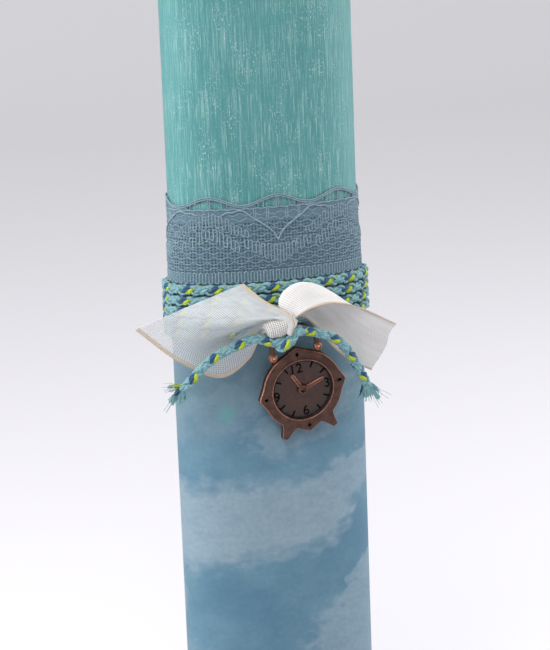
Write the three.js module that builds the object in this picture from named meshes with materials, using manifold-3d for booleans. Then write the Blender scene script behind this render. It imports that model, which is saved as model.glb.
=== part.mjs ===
// Decorated easter candle: a flat oval pillar of turquoise wax with its wick, a printed
// wrap round the lower half, a scalloped lace band, four turns of cord tied at the
// front, a gauze ribbon knotted over them, and a cast alarm-clock charm that hangs from
// the cord by its bail.
// Millimetres, +Z up, the front faces -Y, the origin is the centre of the base.

import * as THREE from 'three';
import { mergeVertices } from 'three/addons/utils/BufferGeometryUtils.js';
import Module from 'manifold-3d';

const DEGREE = Math.PI / 180;

// Clearance between pieces that touch
const FIT = 0.3;
// How far a cutting tool goes past the face that it cuts
const CUT_THROUGH = 1;

// Wax and wick
const CANDLE_WIDTH = 50;
const CANDLE_DEPTH = 25;
const CANDLE_HEIGHT = 300;
const SECTION_POWER = 2.2; // 2 gives an ellipse, more a squarer oval
const SECTION_STEPS = 48;
const RIM_ROUND = 1.2;
const WICK_DIAMETER = 2.2;
const WICK_STUB = 10;
const WICK_LEAN = 2.2;
const WICK_FOOT = 6; // wax left under the wick
const WICK_STRAIGHT = 6; // from the top of the wax down to where the stub's lean ends

// Printed wrap
const WRAP_THICKNESS = 0.4;
const WRAP_BOTTOM = 1;
const WRAP_UNDER_LACE = 9; // how far the wrap goes up behind the lace
const SEAM_GAP = 0.6;

// Lace
const LACE_BOTTOM = 150;
const LACE_THICKNESS = 0.5;
const LACE_PITCH = 17.6; // one scallop
const LACE_BAND = 18.4;
const LACE_RISE = 3.4;
const LACE_RIM = 0.8;
const LACE_BAR = 0.6;
const GAPS_PER_SCALLOP = 5;
const HEM_HEIGHT = 4.2;
const NET_ROWS = 4;
const NET_GAP = 1.25;
const MOTIF_BOTTOM = 13.2;
const MOTIF_HEIGHT = 2.6;
const MOTIF_WAVE = 1.1;

// Cord
const CORD_DIAMETER = 2.4;
const CORD_PRESSED = 1.8; // its thickness where it is wound tight
const CORD_TURNS = 4;
const CORD_GAP = 0.45;
const STEPS_PER_TURN = 24;
const FRONT_ANGLE = 270 * DEGREE; // section angle of the front's middle
// At the back, between these section angles, each turn goes down to the next row. The
// cord's first end lies where the first of them would end.
const DESCENT_START = 45 * DEGREE;
const DESCENT_END = 135 * DEGREE;
const TIE_X = 1.2; // where the cord's end comes forward through the bail
const TIE_BEND = 2;
const TIE_STRAIGHT = 0.6; // past the bend, up to the strand that holds the charm
const KNOT_COIL = 1.35; // radius of the knot's coil, to the cord's centre
const KNOT_PITCH = 3.6;
const KNOT_TURNS = 1.5;
const KNOT_LEFT_X = -3.4;
const KNOT_DROP = 1;
const KNOT_START = 170 * DEGREE;
const KNOT_LEAD = [-2, -0.3, -0.9]; // from the coil's first end to where the left tail starts

// Clock charm
const RING_RADIUS = 10.7;
const CHARM_THICKNESS = 2;
const DIAL_RADIUS = 8.25;
const DIAL_DEPTH = 0.7;
const EDGE_CHAMFER = 0.2;
const LUG_REACH = 1.1;
const LUG_SPREAD = 17 * DEGREE;
const LUG_CURVE = 1.3; // over 1 makes the lug's flanks hollow
const LUG_HOLE_RADIUS = 0.42;
const LUG_HOLE_INSET = 0.85;
const LUG_HOLE_DEPTH = 1.1;
const FOOT_REACH = 3.5;
const FOOT_SPREAD = 13 * DEGREE;
const FOOT_TIP = 2.6 * DEGREE;
const FOOT_CURVE = 2.2;
const FOOT_ANGLE = 30 * DEGREE;
const BALL_RADIUS = 1.2;
const BALL_CENTRE = 12.1;
const BALL_ANGLE = 30 * DEGREE;
const DIMPLE_RADIUS = 0.4;
const DIMPLE_DEPTH = 0.23;
const BAIL_WIRE = 1.3;
const BAIL_LEG = 1.3; // from the balls up to the start of the arch
const HUB_RADIUS = 1.4;
const HUB_HOLE_RADIUS = 0.55;
const HUB_HEIGHT = 0.95;
const HAND_HEIGHT = 0.5;
const HAND_WIDTH = 1.15;
const HAND_TAPER = 0.8; // width at the shoulder, as a share of the width at the hub
const HAND_TIP = 0.35;
const HOUR_HAND_LENGTH = 5.2;
const HOUR_HAND_ANGLE = -28 * DEGREE; // clockwise from twelve
const MINUTE_HAND_LENGTH = 6.6;
const MINUTE_HAND_ANGLE = 70 * DEGREE;
const CHARM_TURN = 10.2 * DEGREE; // anticlockwise, seen from the front
const BAIL_STANDOFF = 2.9; // from the winding's face to the bail's wire
const BAIL_PLAY = 0.65; // from the bail's wire to the end of the strand that it hangs on

// Ribbon
const RIBBON_THICKNESS = 0.4;
const RIBBON_KNOT_LENGTH = 5.8;
const RIBBON_KNOT_RADIUS = 2.1;
const RIBBON_KNOT_FULLNESS = 0.7; // 1 gives an ellipse, less a fuller barrel
const RIBBON_KNOT_PLACE = [-3.5, -9.2, 4]; // measured as the bow's lines below are

// Radii and levels that follow from the sizes above
const cordRadius = CORD_DIAMETER / 2;
const wrapInner = FIT;
const wrapOuter = wrapInner + WRAP_THICKNESS;
const laceInner = wrapOuter + FIT;
const cordCentre = wrapOuter + FIT + CORD_PRESSED / 2;
const cordPitch = CORD_DIAMETER + CORD_GAP;
const windingTop = LACE_BOTTOM - FIT - cordRadius;
const tieLevel = windingTop - CORD_TURNS * cordPitch;
const wrapFaceY = -(CANDLE_DEPTH / 2 + wrapOuter);
const windingFace = FIT + CORD_PRESSED; // forward of the wrap's face, as all below
const tieEnd = windingFace - CORD_PRESSED / 2 + TIE_BEND + TIE_STRAIGHT;
const bailForward = windingFace + BAIL_STANDOFF;
const strandEnd = bailForward + BAIL_WIRE / 2 + BAIL_PLAY;
const knotForward = strandEnd + FIT + KNOT_COIL + cordRadius;
const bailArch = BALL_CENTRE * Math.sin(BALL_ANGLE);
const bailShoulder = BALL_CENTRE * Math.cos(BALL_ANGLE) + BAIL_LEG;
const tieUp = bailShoulder + bailArch - BAIL_WIRE / 2 - FIT - cordRadius;

// Hand-chosen lines of the bow, from the point on the wrap's face that is level with the
// tie: x to the right, y forward of the face as a negative number, z up.
// The cord's two tails
const TAIL_LEFT = [
  [-5.9, -9.0, -0.8], [-9.5, -8.3, 0.2], [-12.9, -7.3, -1.0], [-17.6, -6.4, -3.0],
  [-20.3, -5.9, -4.6], [-23.1, -5.5, -6.8], [-25.5, -5.2, -9.4], [-27.7, -4.8, -11.5],
  [-30.7, -4.4, -12.9],
];
const TAIL_RIGHT = [
  [3.4, -8.8, 1.1], [5.6, -8.7, 0.6], [8.7, -8.6, -0.4], [11.7, -8.0, -1.9],
  [14.6, -7.2, -4.6], [16.6, -6.3, -7.6], [18.4, -5.3, -10.3], [19.8, -4.4, -13.1],
  [21.9, -3.6, -17.1],
];
// The ribbon's tails, as lines that run from the knot to the cut end, listed from the
// upper selvedge across the folds to the lower one
const RIBBON_LEFT = [
  [
    [-3.6, -8.3, 7.0], [-4.9, -7.8, 8.3], [-6.4, -7.1, 9.7],
    [-8.2, -6.7, 11.3], [-9.8, -6.3, 12.7], [-11.3, -5.8, 14.1],
  ],
  [
    [-6.8, -9.6, 6.4], [-9.0, -10.2, 7.2], [-12.0, -9.8, 8.3],
    [-15.0, -8.8, 9.5], [-17.8, -7.8, 10.7], [-20.1, -6.8, 11.6],
  ],
  [
    [-7.4, -10.2, 4.6], [-11.1, -11.4, 5.6], [-17.2, -11.0, 4.6],
    [-21.4, -9.8, 5.0], [-25.3, -8.3, 6.8], [-28.7, -6.8, 8.9],
  ],
  [
    [-7.2, -7.8, 3.0], [-10.0, -5.3, 1.6], [-15.9, -3.8, -0.9],
    [-22.0, -3.8, -2.8], [-28.5, -4.8, 1.1], [-33.8, -4.8, 6.6],
  ],
  [
    [-7.0, -5.6, 1.4], [-9.6, -2.8, -6.6], [-16.8, -1.2, -10.6],
    [-24.4, -2.3, -6.7], [-31.7, -3.3, -3.3], [-39.0, -2.8, 4.4],
  ],
];
const RIBBON_RIGHT = [
  [
    [0.3, -10.4, 4.2], [1.2, -11.6, 5.7], [4.5, -12.3, 7.4],
    [10.8, -10.8, 7.8], [19.2, -7.8, 5.2], [29.3, -4.8, -0.2],
  ],
  [
    [-0.8, -9.2, 6.9], [-1.4, -8.8, 11.4], [2.8, -8.8, 13.6],
    [10.4, -7.3, 10.5], [19.7, -5.8, 1.3], [27.7, -4.3, -2.7],
  ],
  [
    [0.6, -7.8, 5.2], [1.6, -5.6, 7.1], [5.4, -4.3, 5.2],
    [11.8, -3.9, 2.2], [19.6, -3.3, -4.0], [26.8, -2.8, -6.9],
  ],
  [
    [0.7, -7.9, 4.0], [4.4, -5.4, 4.0], [9.0, -3.4, -0.6],
    [13.4, -2.2, -6.0], [18.2, -1.3, -9.8], [23.5, -0.8, -12.8],
  ],
];

const wasm = await Module();
wasm.setup();

const COLOURS = {
  wax: new THREE.MeshStandardMaterial({ color: 0x7fb8b4, roughness: 0.45, metalness: 0 }),
  wick: new THREE.MeshStandardMaterial({ color: 0xe9e4d6, roughness: 0.9, metalness: 0 }),
  wrap: new THREE.MeshStandardMaterial({ color: 0x7d9db4, roughness: 0.8, metalness: 0 }),
  lace: new THREE.MeshStandardMaterial({ color: 0x8497a2, roughness: 0.85, metalness: 0 }),
  cord: new THREE.MeshStandardMaterial({ color: 0x8fc0c4, roughness: 0.8, metalness: 0 }),
  ribbon: new THREE.MeshStandardMaterial({ color: 0xdedccf, roughness: 0.75, metalness: 0 }),
  charm: new THREE.MeshStandardMaterial({ color: 0x6b4638, roughness: 0.45, metalness: 0.9 }),
};

// A point of the candle's oval section, moved outwards by offset
function ovalPoint(angle, offset) {
  const power = 2 / SECTION_POWER;
  const halfWidth = CANDLE_WIDTH / 2;
  const halfDepth = CANDLE_DEPTH / 2;
  const c = Math.cos(angle);
  const s = Math.sin(angle);
  const point = new THREE.Vector2(
    halfWidth * Math.sign(c) * Math.abs(c) ** power,
    halfDepth * Math.sign(s) * Math.abs(s) ** power,
  );
  const normal = new THREE.Vector2(
    Math.sign(c) * Math.abs(c) ** (2 - power) / halfWidth,
    Math.sign(s) * Math.abs(s) ** (2 - power) / halfDepth,
  ).normalize();
  return point.addScaledVector(normal, offset);
}

// Gives the section angle at each distance round the oval from the middle of the front
function ovalRuler(offset) {
  const steps = 1440;
  const angles = [-Math.PI / 2];
  const lengths = [0];
  let before = ovalPoint(angles[0], offset);
  for (let i = 1; i <= steps; i++) {
    const angle = -Math.PI / 2 + (i / steps) * 2 * Math.PI;
    const point = ovalPoint(angle, offset);
    angles.push(angle);
    lengths.push(lengths[i - 1] + point.distanceTo(before));
    before = point;
  }
  const round = lengths[steps];
  const angleAt = (distance) => {
    const along = ((distance % round) + round) % round;
    let high = lengths.findIndex((length) => length >= along);
    high = Math.max(high, 1);
    const share = (along - lengths[high - 1]) / (lengths[high] - lengths[high - 1]);
    return angles[high - 1] + share * (angles[high] - angles[high - 1]);
  };
  return { round, angleAt };
}

// Welds shared points, so that a geometry is one closed surface
function weld(geometry) {
  const bare = geometry.clone();
  bare.deleteAttribute('normal');
  bare.deleteAttribute('uv');
  const welded = mergeVertices(bare, 1e-4);
  welded.computeVertexNormals();
  return welded;
}

function toSolid(geometry) {
  const welded = weld(geometry);
  return new wasm.Manifold(new wasm.Mesh({
    numProp: 3,
    vertProperties: new Float32Array(welded.attributes.position.array),
    triVerts: new Uint32Array(welded.index.array),
  }));
}

function toGeometry(manifold) {
  const mesh = manifold.getMesh();
  const geometry = new THREE.BufferGeometry();
  geometry.setAttribute('position', new THREE.BufferAttribute(new Float32Array(mesh.vertProperties), 3));
  geometry.setIndex(new THREE.BufferAttribute(new Uint32Array(mesh.triVerts), 1));
  geometry.computeVertexNormals();
  return geometry;
}

function fromTriangles(points) {
  const geometry = new THREE.BufferGeometry();
  const numbers = points.flatMap((point) => [point.x, point.y, point.z]);
  geometry.setAttribute('position', new THREE.Float32BufferAttribute(numbers, 3));
  return weld(geometry);
}

// A thin sheet with two skins and square gaps. place(i, j, side) gives the point of line
// i, row j on the inner skin (side 0) or the outer one (side 1); isOpen(i, j) says that
// the cell between lines i and i + 1, rows j and j + 1, is a gap.
function sheet(cells, rows, place, isOpen = () => false) {
  const points = [];
  const quad = (a, b, c, d) => points.push(a, b, c, a, c, d);
  const filled = (i, j) => i >= 0 && j >= 0 && i < cells && j < rows && !isOpen(i, j);
  for (let i = 0; i < cells; i++) {
    for (let j = 0; j < rows; j++) {
      if (!filled(i, j)) continue;
      const corner = (di, dj, side) => place(i + di, j + dj, side);
      quad(corner(0, 0, 1), corner(1, 0, 1), corner(1, 1, 1), corner(0, 1, 1));
      quad(corner(0, 0, 0), corner(0, 1, 0), corner(1, 1, 0), corner(1, 0, 0));
      if (!filled(i - 1, j)) quad(corner(0, 0, 0), corner(0, 0, 1), corner(0, 1, 1), corner(0, 1, 0));
      if (!filled(i + 1, j)) quad(corner(1, 0, 1), corner(1, 0, 0), corner(1, 1, 0), corner(1, 1, 1));
      if (!filled(i, j - 1)) quad(corner(0, 0, 0), corner(1, 0, 0), corner(1, 0, 1), corner(0, 0, 1));
      if (!filled(i, j + 1)) quad(corner(0, 1, 1), corner(1, 1, 1), corner(1, 1, 0), corner(0, 1, 0));
    }
  }
  return fromTriangles(points);
}

// A closed tube with flat ends. axesAt(i, along) gives the two directions that span the
// section at point i, the first of them towards a corner.
function tube(path, radius, sides, axesAt) {
  const last = path.length - 1;
  const rings = path.map((point, i) => {
    const along = path[Math.min(i + 1, last)].clone().sub(path[Math.max(i - 1, 0)]).normalize();
    const [first, second] = axesAt(i, along);
    return Array.from({ length: sides }, (_, k) => {
      const angle = (k / sides) * 2 * Math.PI;
      return point.clone()
        .addScaledVector(first, radius * Math.cos(angle))
        .addScaledVector(second, radius * Math.sin(angle));
    });
  });
  const points = [];
  for (let k = 0; k < sides; k++) {
    const next = (k + 1) % sides;
    for (let i = 0; i < last; i++) {
      const [a, b, c, d] = [rings[i][k], rings[i][next], rings[i + 1][next], rings[i + 1][k]];
      points.push(a, b, c, a, c, d);
    }
    points.push(path[0], rings[0][next], rings[0][k]);
    points.push(path[last], rings[last][k], rings[last][next]);
  }
  return fromTriangles(points);
}

// A tube whose section has a corner on the side that lean points to, so that a level
// stretch turns a flat side to what it lies on. fullness(i) is its width at point i
// across the lean, as a share of its width along it.
function woundTube(path, radius, sides, lean = new THREE.Vector3(0, 0, 1), fullness = () => 1) {
  return tube(path, radius, sides, (i, along) => {
    const across = along.clone().cross(lean).normalize();
    const upright = across.clone().cross(along);
    return [upright, across.multiplyScalar(fullness(i))];
  });
}

// A tube whose section turns as little as it can along a coil
function coilTube(path, radius, sides) {
  const curve = new THREE.CatmullRomCurve3(path);
  const frames = curve.computeFrenetFrames(path.length - 1, false);
  const spaced = curve.getSpacedPoints(path.length - 1);
  return tube(spaced, radius, sides, (i) => [frames.normals[i], frames.binormals[i]]);
}

// Least clear distance of a tube to itself, between stretches that aren't neighbours
function leastSelfGap(path, radius) {
  const spaced = new THREE.CatmullRomCurve3(path).getSpacedPoints(path.length * 4);
  const step = spaced[1].distanceTo(spaced[0]);
  const skip = Math.ceil((radius * 2 * 1.8) / step);
  let least = Infinity;
  for (let i = 0; i < spaced.length; i++) {
    for (let j = i + skip; j < spaced.length; j++) {
      least = Math.min(least, spaced[i].distanceTo(spaced[j]));
    }
  }
  return least - radius * 2;
}

function waxBody() {
  const outline = [];
  for (let i = 0; i < SECTION_STEPS; i++) {
    outline.push(ovalPoint((i / SECTION_STEPS) * 2 * Math.PI, 0));
  }
  const pillar = new THREE.ExtrudeGeometry(new THREE.Shape(outline), {
    depth: CANDLE_HEIGHT - 2 * RIM_ROUND,
    bevelThickness: RIM_ROUND,
    bevelSize: RIM_ROUND,
    bevelOffset: -RIM_ROUND,
    bevelSegments: 2,
  });
  pillar.translate(0, 0, RIM_ROUND);
  const bore = disc(WICK_DIAMETER / 2 + FIT, WICK_FOOT, CANDLE_HEIGHT + CUT_THROUGH, 16);
  return toGeometry(toSolid(pillar).subtract(toSolid(bore)));
}

// Straight down the middle of the wax, with a stub that leans over above it
function wick() {
  const foot = WICK_FOOT + FIT;
  const points = [
    new THREE.Vector3(0, 0, foot),
    new THREE.Vector3(0, 0, foot + CANDLE_HEIGHT / 2),
    new THREE.Vector3(0, 0, CANDLE_HEIGHT - WICK_STRAIGHT),
  ];
  for (const share of [0.15, 0.4, 0.7, 1]) {
    points.push(new THREE.Vector3(WICK_LEAN * share ** 2, 0, CANDLE_HEIGHT + WICK_STUB * share));
  }
  return woundTube(points, WICK_DIAMETER / 2, 10, new THREE.Vector3(0, 1, 0));
}

function printWrap() {
  const ruler = ovalRuler(wrapInner);
  const half = (ruler.round - SEAM_GAP) / 2;
  const seam = ruler.angleAt(half) + Math.PI / 2;
  const top = LACE_BOTTOM + WRAP_UNDER_LACE;
  return sheet(SECTION_STEPS, 1, (i, j, side) => {
    const angle = -Math.PI / 2 + seam * (2 * i / SECTION_STEPS - 1);
    const point = ovalPoint(angle, side ? wrapOuter : wrapInner);
    return new THREE.Vector3(point.x, point.y, j ? top : WRAP_BOTTOM);
  });
}

// A cut length of lace, its ends butted at the back. Under the scalloped rim runs a row
// of arch gaps; below the straight band come a row of leaf slots in a wave, the net and
// the solid hem.
function laceBand() {
  const ruler = ovalRuler(laceInner);
  const half = (ruler.round - SEAM_GAP) / 2;
  const cell = LACE_PITCH / GAPS_PER_SCALLOP;
  const lines = [-half];
  const reach = Math.floor((half - LACE_BAR) / cell - 0.5);
  for (let n = -reach; n <= reach; n++) {
    lines.push(n * cell - (cell - LACE_BAR) / 2, n * cell + (cell - LACE_BAR) / 2);
  }
  lines.push(half);
  const arch = (s) => LACE_RISE * Math.cos(Math.PI * s / LACE_PITCH) ** 2;
  const wave = (s) => MOTIF_WAVE * Math.cos(2 * Math.PI * s / LACE_PITCH);
  const archFoot = LACE_BAND + LACE_RIM / 3;
  const levels = [() => 0];
  for (let row = 0; row < NET_ROWS; row++) {
    const bottom = HEM_HEIGHT + row * (NET_GAP + LACE_BAR);
    levels.push(() => bottom, () => bottom + NET_GAP);
  }
  levels.push((s) => MOTIF_BOTTOM + wave(s), (s) => MOTIF_BOTTOM + MOTIF_HEIGHT + wave(s));
  levels.push(() => LACE_BAND, (s) => archFoot + arch(s), (s) => archFoot + LACE_RIM + arch(s));
  const archRow = levels.length - 3;
  const cells = lines.length - 1;
  const rows = levels.length - 1;
  // Each second row of the net stands half a gap to the side
  const shift = (i, j) => {
    const row = Math.floor((j - 1) / 2);
    const inNet = j >= 1 && j <= 2 * NET_ROWS && row % 2 === 1;
    return inNet && i > 0 && i < cells ? cell / 2 - LACE_BAR / 2 : 0;
  };
  const isGap = (i, j) => {
    if (i % 2 === 0 || i >= cells - 2 || j % 2 === 0 && j !== archRow) return false;
    const middle = (lines[i] + lines[i + 1]) / 2;
    return j !== archRow || arch(middle) > LACE_RIM;
  };
  return sheet(cells, rows, (i, j, side) => {
    const s = lines[i] + shift(i, j);
    const point = ovalPoint(ruler.angleAt(s), laceInner + side * LACE_THICKNESS);
    return new THREE.Vector3(point.x, point.y, LACE_BOTTOM + levels[j](s));
  }, isGap);
}

// The section angles of the winding's path: from the cord's first end at the back, round
// by the left side to the front, and so on to the last step before the tie
function windingAngles() {
  const step = 2 * Math.PI / STEPS_PER_TURN;
  const tie = FRONT_ANGLE + CORD_TURNS * 2 * Math.PI;
  const angles = [];
  for (let angle = DESCENT_END; angle < tie - step / 2; angle += step) angles.push(angle);
  return angles;
}

// The cord's path round the candle: rows that are level at the front and the sides and
// go down at the back, and a last one whose end bends forward at the tie
function windingPath() {
  const path = windingAngles().map((angle) => {
    const turned = (angle - DESCENT_START) / (2 * Math.PI);
    const descent = (DESCENT_END - DESCENT_START) / (2 * Math.PI);
    const share = THREE.MathUtils.smoothstep(turned % 1, 0, descent);
    const row = Math.floor(turned) + share - 1;
    const point = ovalPoint(angle, cordCentre);
    return new THREE.Vector3(point.x, point.y, windingTop - row * cordPitch);
  });
  const front = -(CANDLE_DEPTH / 2 + cordCentre);
  for (const degrees of [0, 30, 60, 90]) {
    const bend = degrees * DEGREE;
    path.push(new THREE.Vector3(
      TIE_X - TIE_BEND * (1 - Math.sin(bend)),
      front - TIE_BEND * (1 - Math.cos(bend)),
      tieLevel,
    ));
  }
  path.push(new THREE.Vector3(TIE_X, wrapFaceY - tieEnd, tieLevel));
  return path;
}

// The wound cord, pressed by its own pull until it bends forward at the tie
function cordWinding(path) {
  const pressed = CORD_PRESSED / CORD_DIAMETER;
  const wound = windingAngles().length;
  const bend = path.length - 2 - wound;
  const fullness = (i) => THREE.MathUtils.lerp(pressed, 1, THREE.MathUtils.clamp((i - wound) / bend, 0, 1));
  return woundTube(path, cordRadius, 6, new THREE.Vector3(0, 0, 1), fullness);
}

// The tie's knot: the cord coils one and a half turns on itself between its two tails
function knotPath() {
  const steps = Math.round(KNOT_TURNS * 12);
  const [leadX, leadY, leadZ] = KNOT_LEAD;
  const path = [new THREE.Vector3(KNOT_LEFT_X + leadX, leadY - knotForward, leadZ)];
  for (let k = 0; k <= steps; k++) {
    const angle = KNOT_START + (k / steps) * KNOT_TURNS * 2 * Math.PI;
    path.push(new THREE.Vector3(
      KNOT_LEFT_X + (k / steps) * KNOT_TURNS * KNOT_PITCH,
      -knotForward - KNOT_COIL * Math.sin(angle),
      -KNOT_DROP + KNOT_COIL * Math.cos(angle),
    ));
  }
  return path;
}

// The cord's stretch between the winding and the knot, on which the charm hangs
function bailStrand() {
  const strand = new THREE.CylinderGeometry(cordRadius, cordRadius, strandEnd - tieEnd - FIT, 16);
  strand.translate(0, -(strandEnd + tieEnd + FIT) / 2, 0);
  return strand;
}

function cordTail(points) {
  const path = new THREE.CatmullRomCurve3(points.map((point) => new THREE.Vector3(...point)));
  const section = new THREE.Shape(Array.from({ length: 8 }, (_, k) => {
    const angle = (k / 8) * 2 * Math.PI;
    return new THREE.Vector2(cordRadius * Math.cos(angle), cordRadius * Math.sin(angle));
  }));
  return new THREE.ExtrudeGeometry(section, { steps: 14, bevelEnabled: false, extrudePath: path });
}

// A curled ribbon tail, lofted across its hand-chosen lines
function ribbonTail(lines) {
  const cells = 14;
  const rows = 8;
  const toCurve = (line) => new THREE.CatmullRomCurve3(line.map((point) => new THREE.Vector3(...point)));
  const curves = lines.map(toCurve);
  const grid = [];
  for (let i = 0; i <= cells; i++) {
    const across = new THREE.CatmullRomCurve3(curves.map((curve) => curve.getPoint(i / cells)));
    grid.push(Array.from({ length: rows + 1 }, (_, j) => across.getPoint(j / rows)));
  }
  const place = (i, j, side) => {
    const along = grid[Math.min(i + 1, cells)][j].clone().sub(grid[Math.max(i - 1, 0)][j]);
    const across = grid[i][Math.min(j + 1, rows)].clone().sub(grid[i][Math.max(j - 1, 0)]);
    const normal = along.cross(across).normalize();
    return grid[i][j].clone().addScaledVector(normal, (side - 0.5) * RIBBON_THICKNESS);
  };
  return sheet(cells, rows, place);
}

// The band of ribbon round the middle of the bow: a barrel that is fullest in the middle
function ribbonKnot() {
  const half = RIBBON_KNOT_LENGTH / 2;
  const profile = [];
  for (let k = 0; k <= 8; k++) {
    const angle = (k / 8 - 0.5) * Math.PI;
    const radius = RIBBON_KNOT_RADIUS * Math.cos(angle) ** RIBBON_KNOT_FULLNESS;
    profile.push(new THREE.Vector2(radius, half * Math.sin(angle)));
  }
  profile[0].x = 0;
  profile[8].x = 0;
  const knot = new THREE.LatheGeometry(profile, 14);
  knot.rotateZ(Math.PI / 2);
  return knot;
}

// Radius of the charm's outline at an angle anticlockwise from twelve: the ring, four
// pointed lugs and two pointed feet
function charmRadius(angle) {
  const away = (centre) => Math.abs(Math.atan2(Math.sin(angle - centre), Math.cos(angle - centre)));
  let radius = RING_RADIUS;
  for (let quarter = 0; quarter < 4; quarter++) {
    const share = 1 - away(quarter * Math.PI / 2) / LUG_SPREAD;
    radius = Math.max(radius, RING_RADIUS + LUG_REACH * Math.max(share, 0) ** LUG_CURVE);
  }
  for (const side of [-1, 1]) {
    const share = (FOOT_SPREAD - away(Math.PI + side * FOOT_ANGLE)) / (FOOT_SPREAD - FOOT_TIP);
    radius = Math.max(radius, RING_RADIUS + FOOT_REACH * THREE.MathUtils.clamp(share, 0, 1) ** FOOT_CURVE);
  }
  return radius;
}

function charmOutline() {
  const steps = 120;
  return Array.from({ length: steps }, (_, i) => {
    const angle = (i / steps) * 2 * Math.PI;
    const radius = charmRadius(angle);
    return new THREE.Vector2(-radius * Math.sin(angle), radius * Math.cos(angle));
  });
}

// A round bar along z
function disc(radius, bottom, top, sides) {
  const cylinder = new THREE.CylinderGeometry(radius, radius, top - bottom, sides);
  cylinder.rotateX(Math.PI / 2);
  cylinder.translate(0, 0, (top + bottom) / 2);
  return cylinder;
}

// A clock hand that narrows to a blunt tip, drawn pointing to twelve and then turned
function clockHand(length, angle, bottom) {
  const half = HAND_WIDTH / 2;
  const outline = new THREE.Shape();
  outline.moveTo(-half, 0);
  outline.lineTo(half, 0);
  outline.lineTo(half * HAND_TAPER, length - half);
  outline.lineTo(half * HAND_TIP, length);
  outline.lineTo(-half * HAND_TIP, length);
  outline.lineTo(-half * HAND_TAPER, length - half);
  const hand = new THREE.ExtrudeGeometry(outline, { depth: HAND_HEIGHT + FIT, bevelEnabled: false });
  hand.rotateZ(-angle);
  hand.translate(0, 0, bottom - FIT);
  return hand;
}

// The wire loop on top of the charm, rooted in the ring under each ball
function bail() {
  const path = [];
  const root = Math.sqrt(RING_RADIUS ** 2 - bailArch ** 2) - BAIL_WIRE / 2;
  path.push(new THREE.Vector3(-bailArch, 0, root));
  for (let k = 0; k <= 12; k++) {
    const angle = Math.PI * (1 - k / 12);
    path.push(new THREE.Vector3(bailArch * Math.cos(angle), 0, bailShoulder + bailArch * Math.sin(angle)));
  }
  path.push(new THREE.Vector3(bailArch, 0, root));
  const side = new THREE.Vector3(0, 1, 0);
  return tube(path, BAIL_WIRE / 2, 8, (i, along) => [side, along.clone().cross(side)]);
}

// One die casting: ring, recessed dial, lugs, feet, balls, bail and raised hands. It is
// made lying on its back and then stood up with its face to the front.
function clockCharm() {
  const half = CHARM_THICKNESS / 2;
  const floor = half - DIAL_DEPTH;
  const plate = new THREE.ExtrudeGeometry(new THREE.Shape(charmOutline()), {
    depth: CHARM_THICKNESS - 2 * EDGE_CHAMFER,
    bevelThickness: EDGE_CHAMFER,
    bevelSize: EDGE_CHAMFER,
    bevelOffset: -EDGE_CHAMFER,
    bevelSegments: 1,
  });
  plate.translate(0, 0, EDGE_CHAMFER - half);
  let casting = toSolid(plate).subtract(toSolid(disc(DIAL_RADIUS, floor, half + CUT_THROUGH, 48)));
  casting = casting.add(toSolid(clockHand(HOUR_HAND_LENGTH, HOUR_HAND_ANGLE, floor)));
  casting = casting.add(toSolid(clockHand(MINUTE_HAND_LENGTH, MINUTE_HAND_ANGLE, floor)));
  casting = casting.add(toSolid(disc(HUB_RADIUS, floor - FIT, floor + HUB_HEIGHT, 20)));
  casting = casting.subtract(toSolid(disc(HUB_HOLE_RADIUS, floor + FIT / 2, half + CUT_THROUGH, 12)));
  for (let quarter = 0; quarter < 4; quarter++) {
    const hole = disc(LUG_HOLE_RADIUS, half - LUG_HOLE_DEPTH, half + CUT_THROUGH, 10);
    const reach = RING_RADIUS - LUG_HOLE_INSET;
    hole.translate(reach * Math.sin(quarter * Math.PI / 2), reach * Math.cos(quarter * Math.PI / 2), 0);
    casting = casting.subtract(toSolid(hole));
  }
  const upright = (geometry) => geometry.rotateX(-Math.PI / 2);
  casting = casting.add(toSolid(upright(bail())));
  for (const side of [-1, 1]) {
    const ball = new THREE.SphereGeometry(BALL_RADIUS, 12, 8);
    const dimple = disc(DIMPLE_RADIUS, BALL_RADIUS - DIMPLE_DEPTH, BALL_RADIUS + CUT_THROUGH, 8);
    for (const piece of [ball, dimple]) {
      piece.translate(side * bailArch, BALL_CENTRE * Math.cos(BALL_ANGLE), 0);
    }
    casting = casting.add(toSolid(ball)).subtract(toSolid(dimple));
  }
  const geometry = toGeometry(casting);
  geometry.rotateX(Math.PI / 2);
  return geometry;
}

function named(name, geometry, material) {
  const mesh = new THREE.Mesh(geometry, material);
  mesh.name = name;
  return mesh;
}

// The candle itself and what is wound round it
const candle = new THREE.Group();
const winding = windingPath();
candle.add(
  named('wax_body', waxBody(), COLOURS.wax),
  named('wick', wick(), COLOURS.wick),
  named('print_wrap', printWrap(), COLOURS.wrap),
  named('lace_band', laceBand(), COLOURS.lace),
  named('cord_winding', cordWinding(winding), COLOURS.cord),
);

// The bow, measured from the wrap's face at the level of the tie
const bow = new THREE.Group();
bow.position.set(0, wrapFaceY, tieLevel);
const knot = knotPath();
bow.add(
  named('cord_knot', coilTube(knot, cordRadius, 8), COLOURS.cord),
  named('cord_tail_left', cordTail(TAIL_LEFT), COLOURS.cord),
  named('cord_tail_right', cordTail(TAIL_RIGHT), COLOURS.cord),
  named('ribbon_tail_left', ribbonTail(RIBBON_LEFT), COLOURS.ribbon),
  named('ribbon_tail_right', ribbonTail(RIBBON_RIGHT), COLOURS.ribbon),
);
const ribbonMiddle = named('ribbon_knot', ribbonKnot(), COLOURS.ribbon);
ribbonMiddle.position.set(...RIBBON_KNOT_PLACE);
const strand = named('bail_strand', bailStrand(), COLOURS.cord);
strand.position.set(TIE_X, 0, 0);
bow.add(ribbonMiddle, strand);

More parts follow.
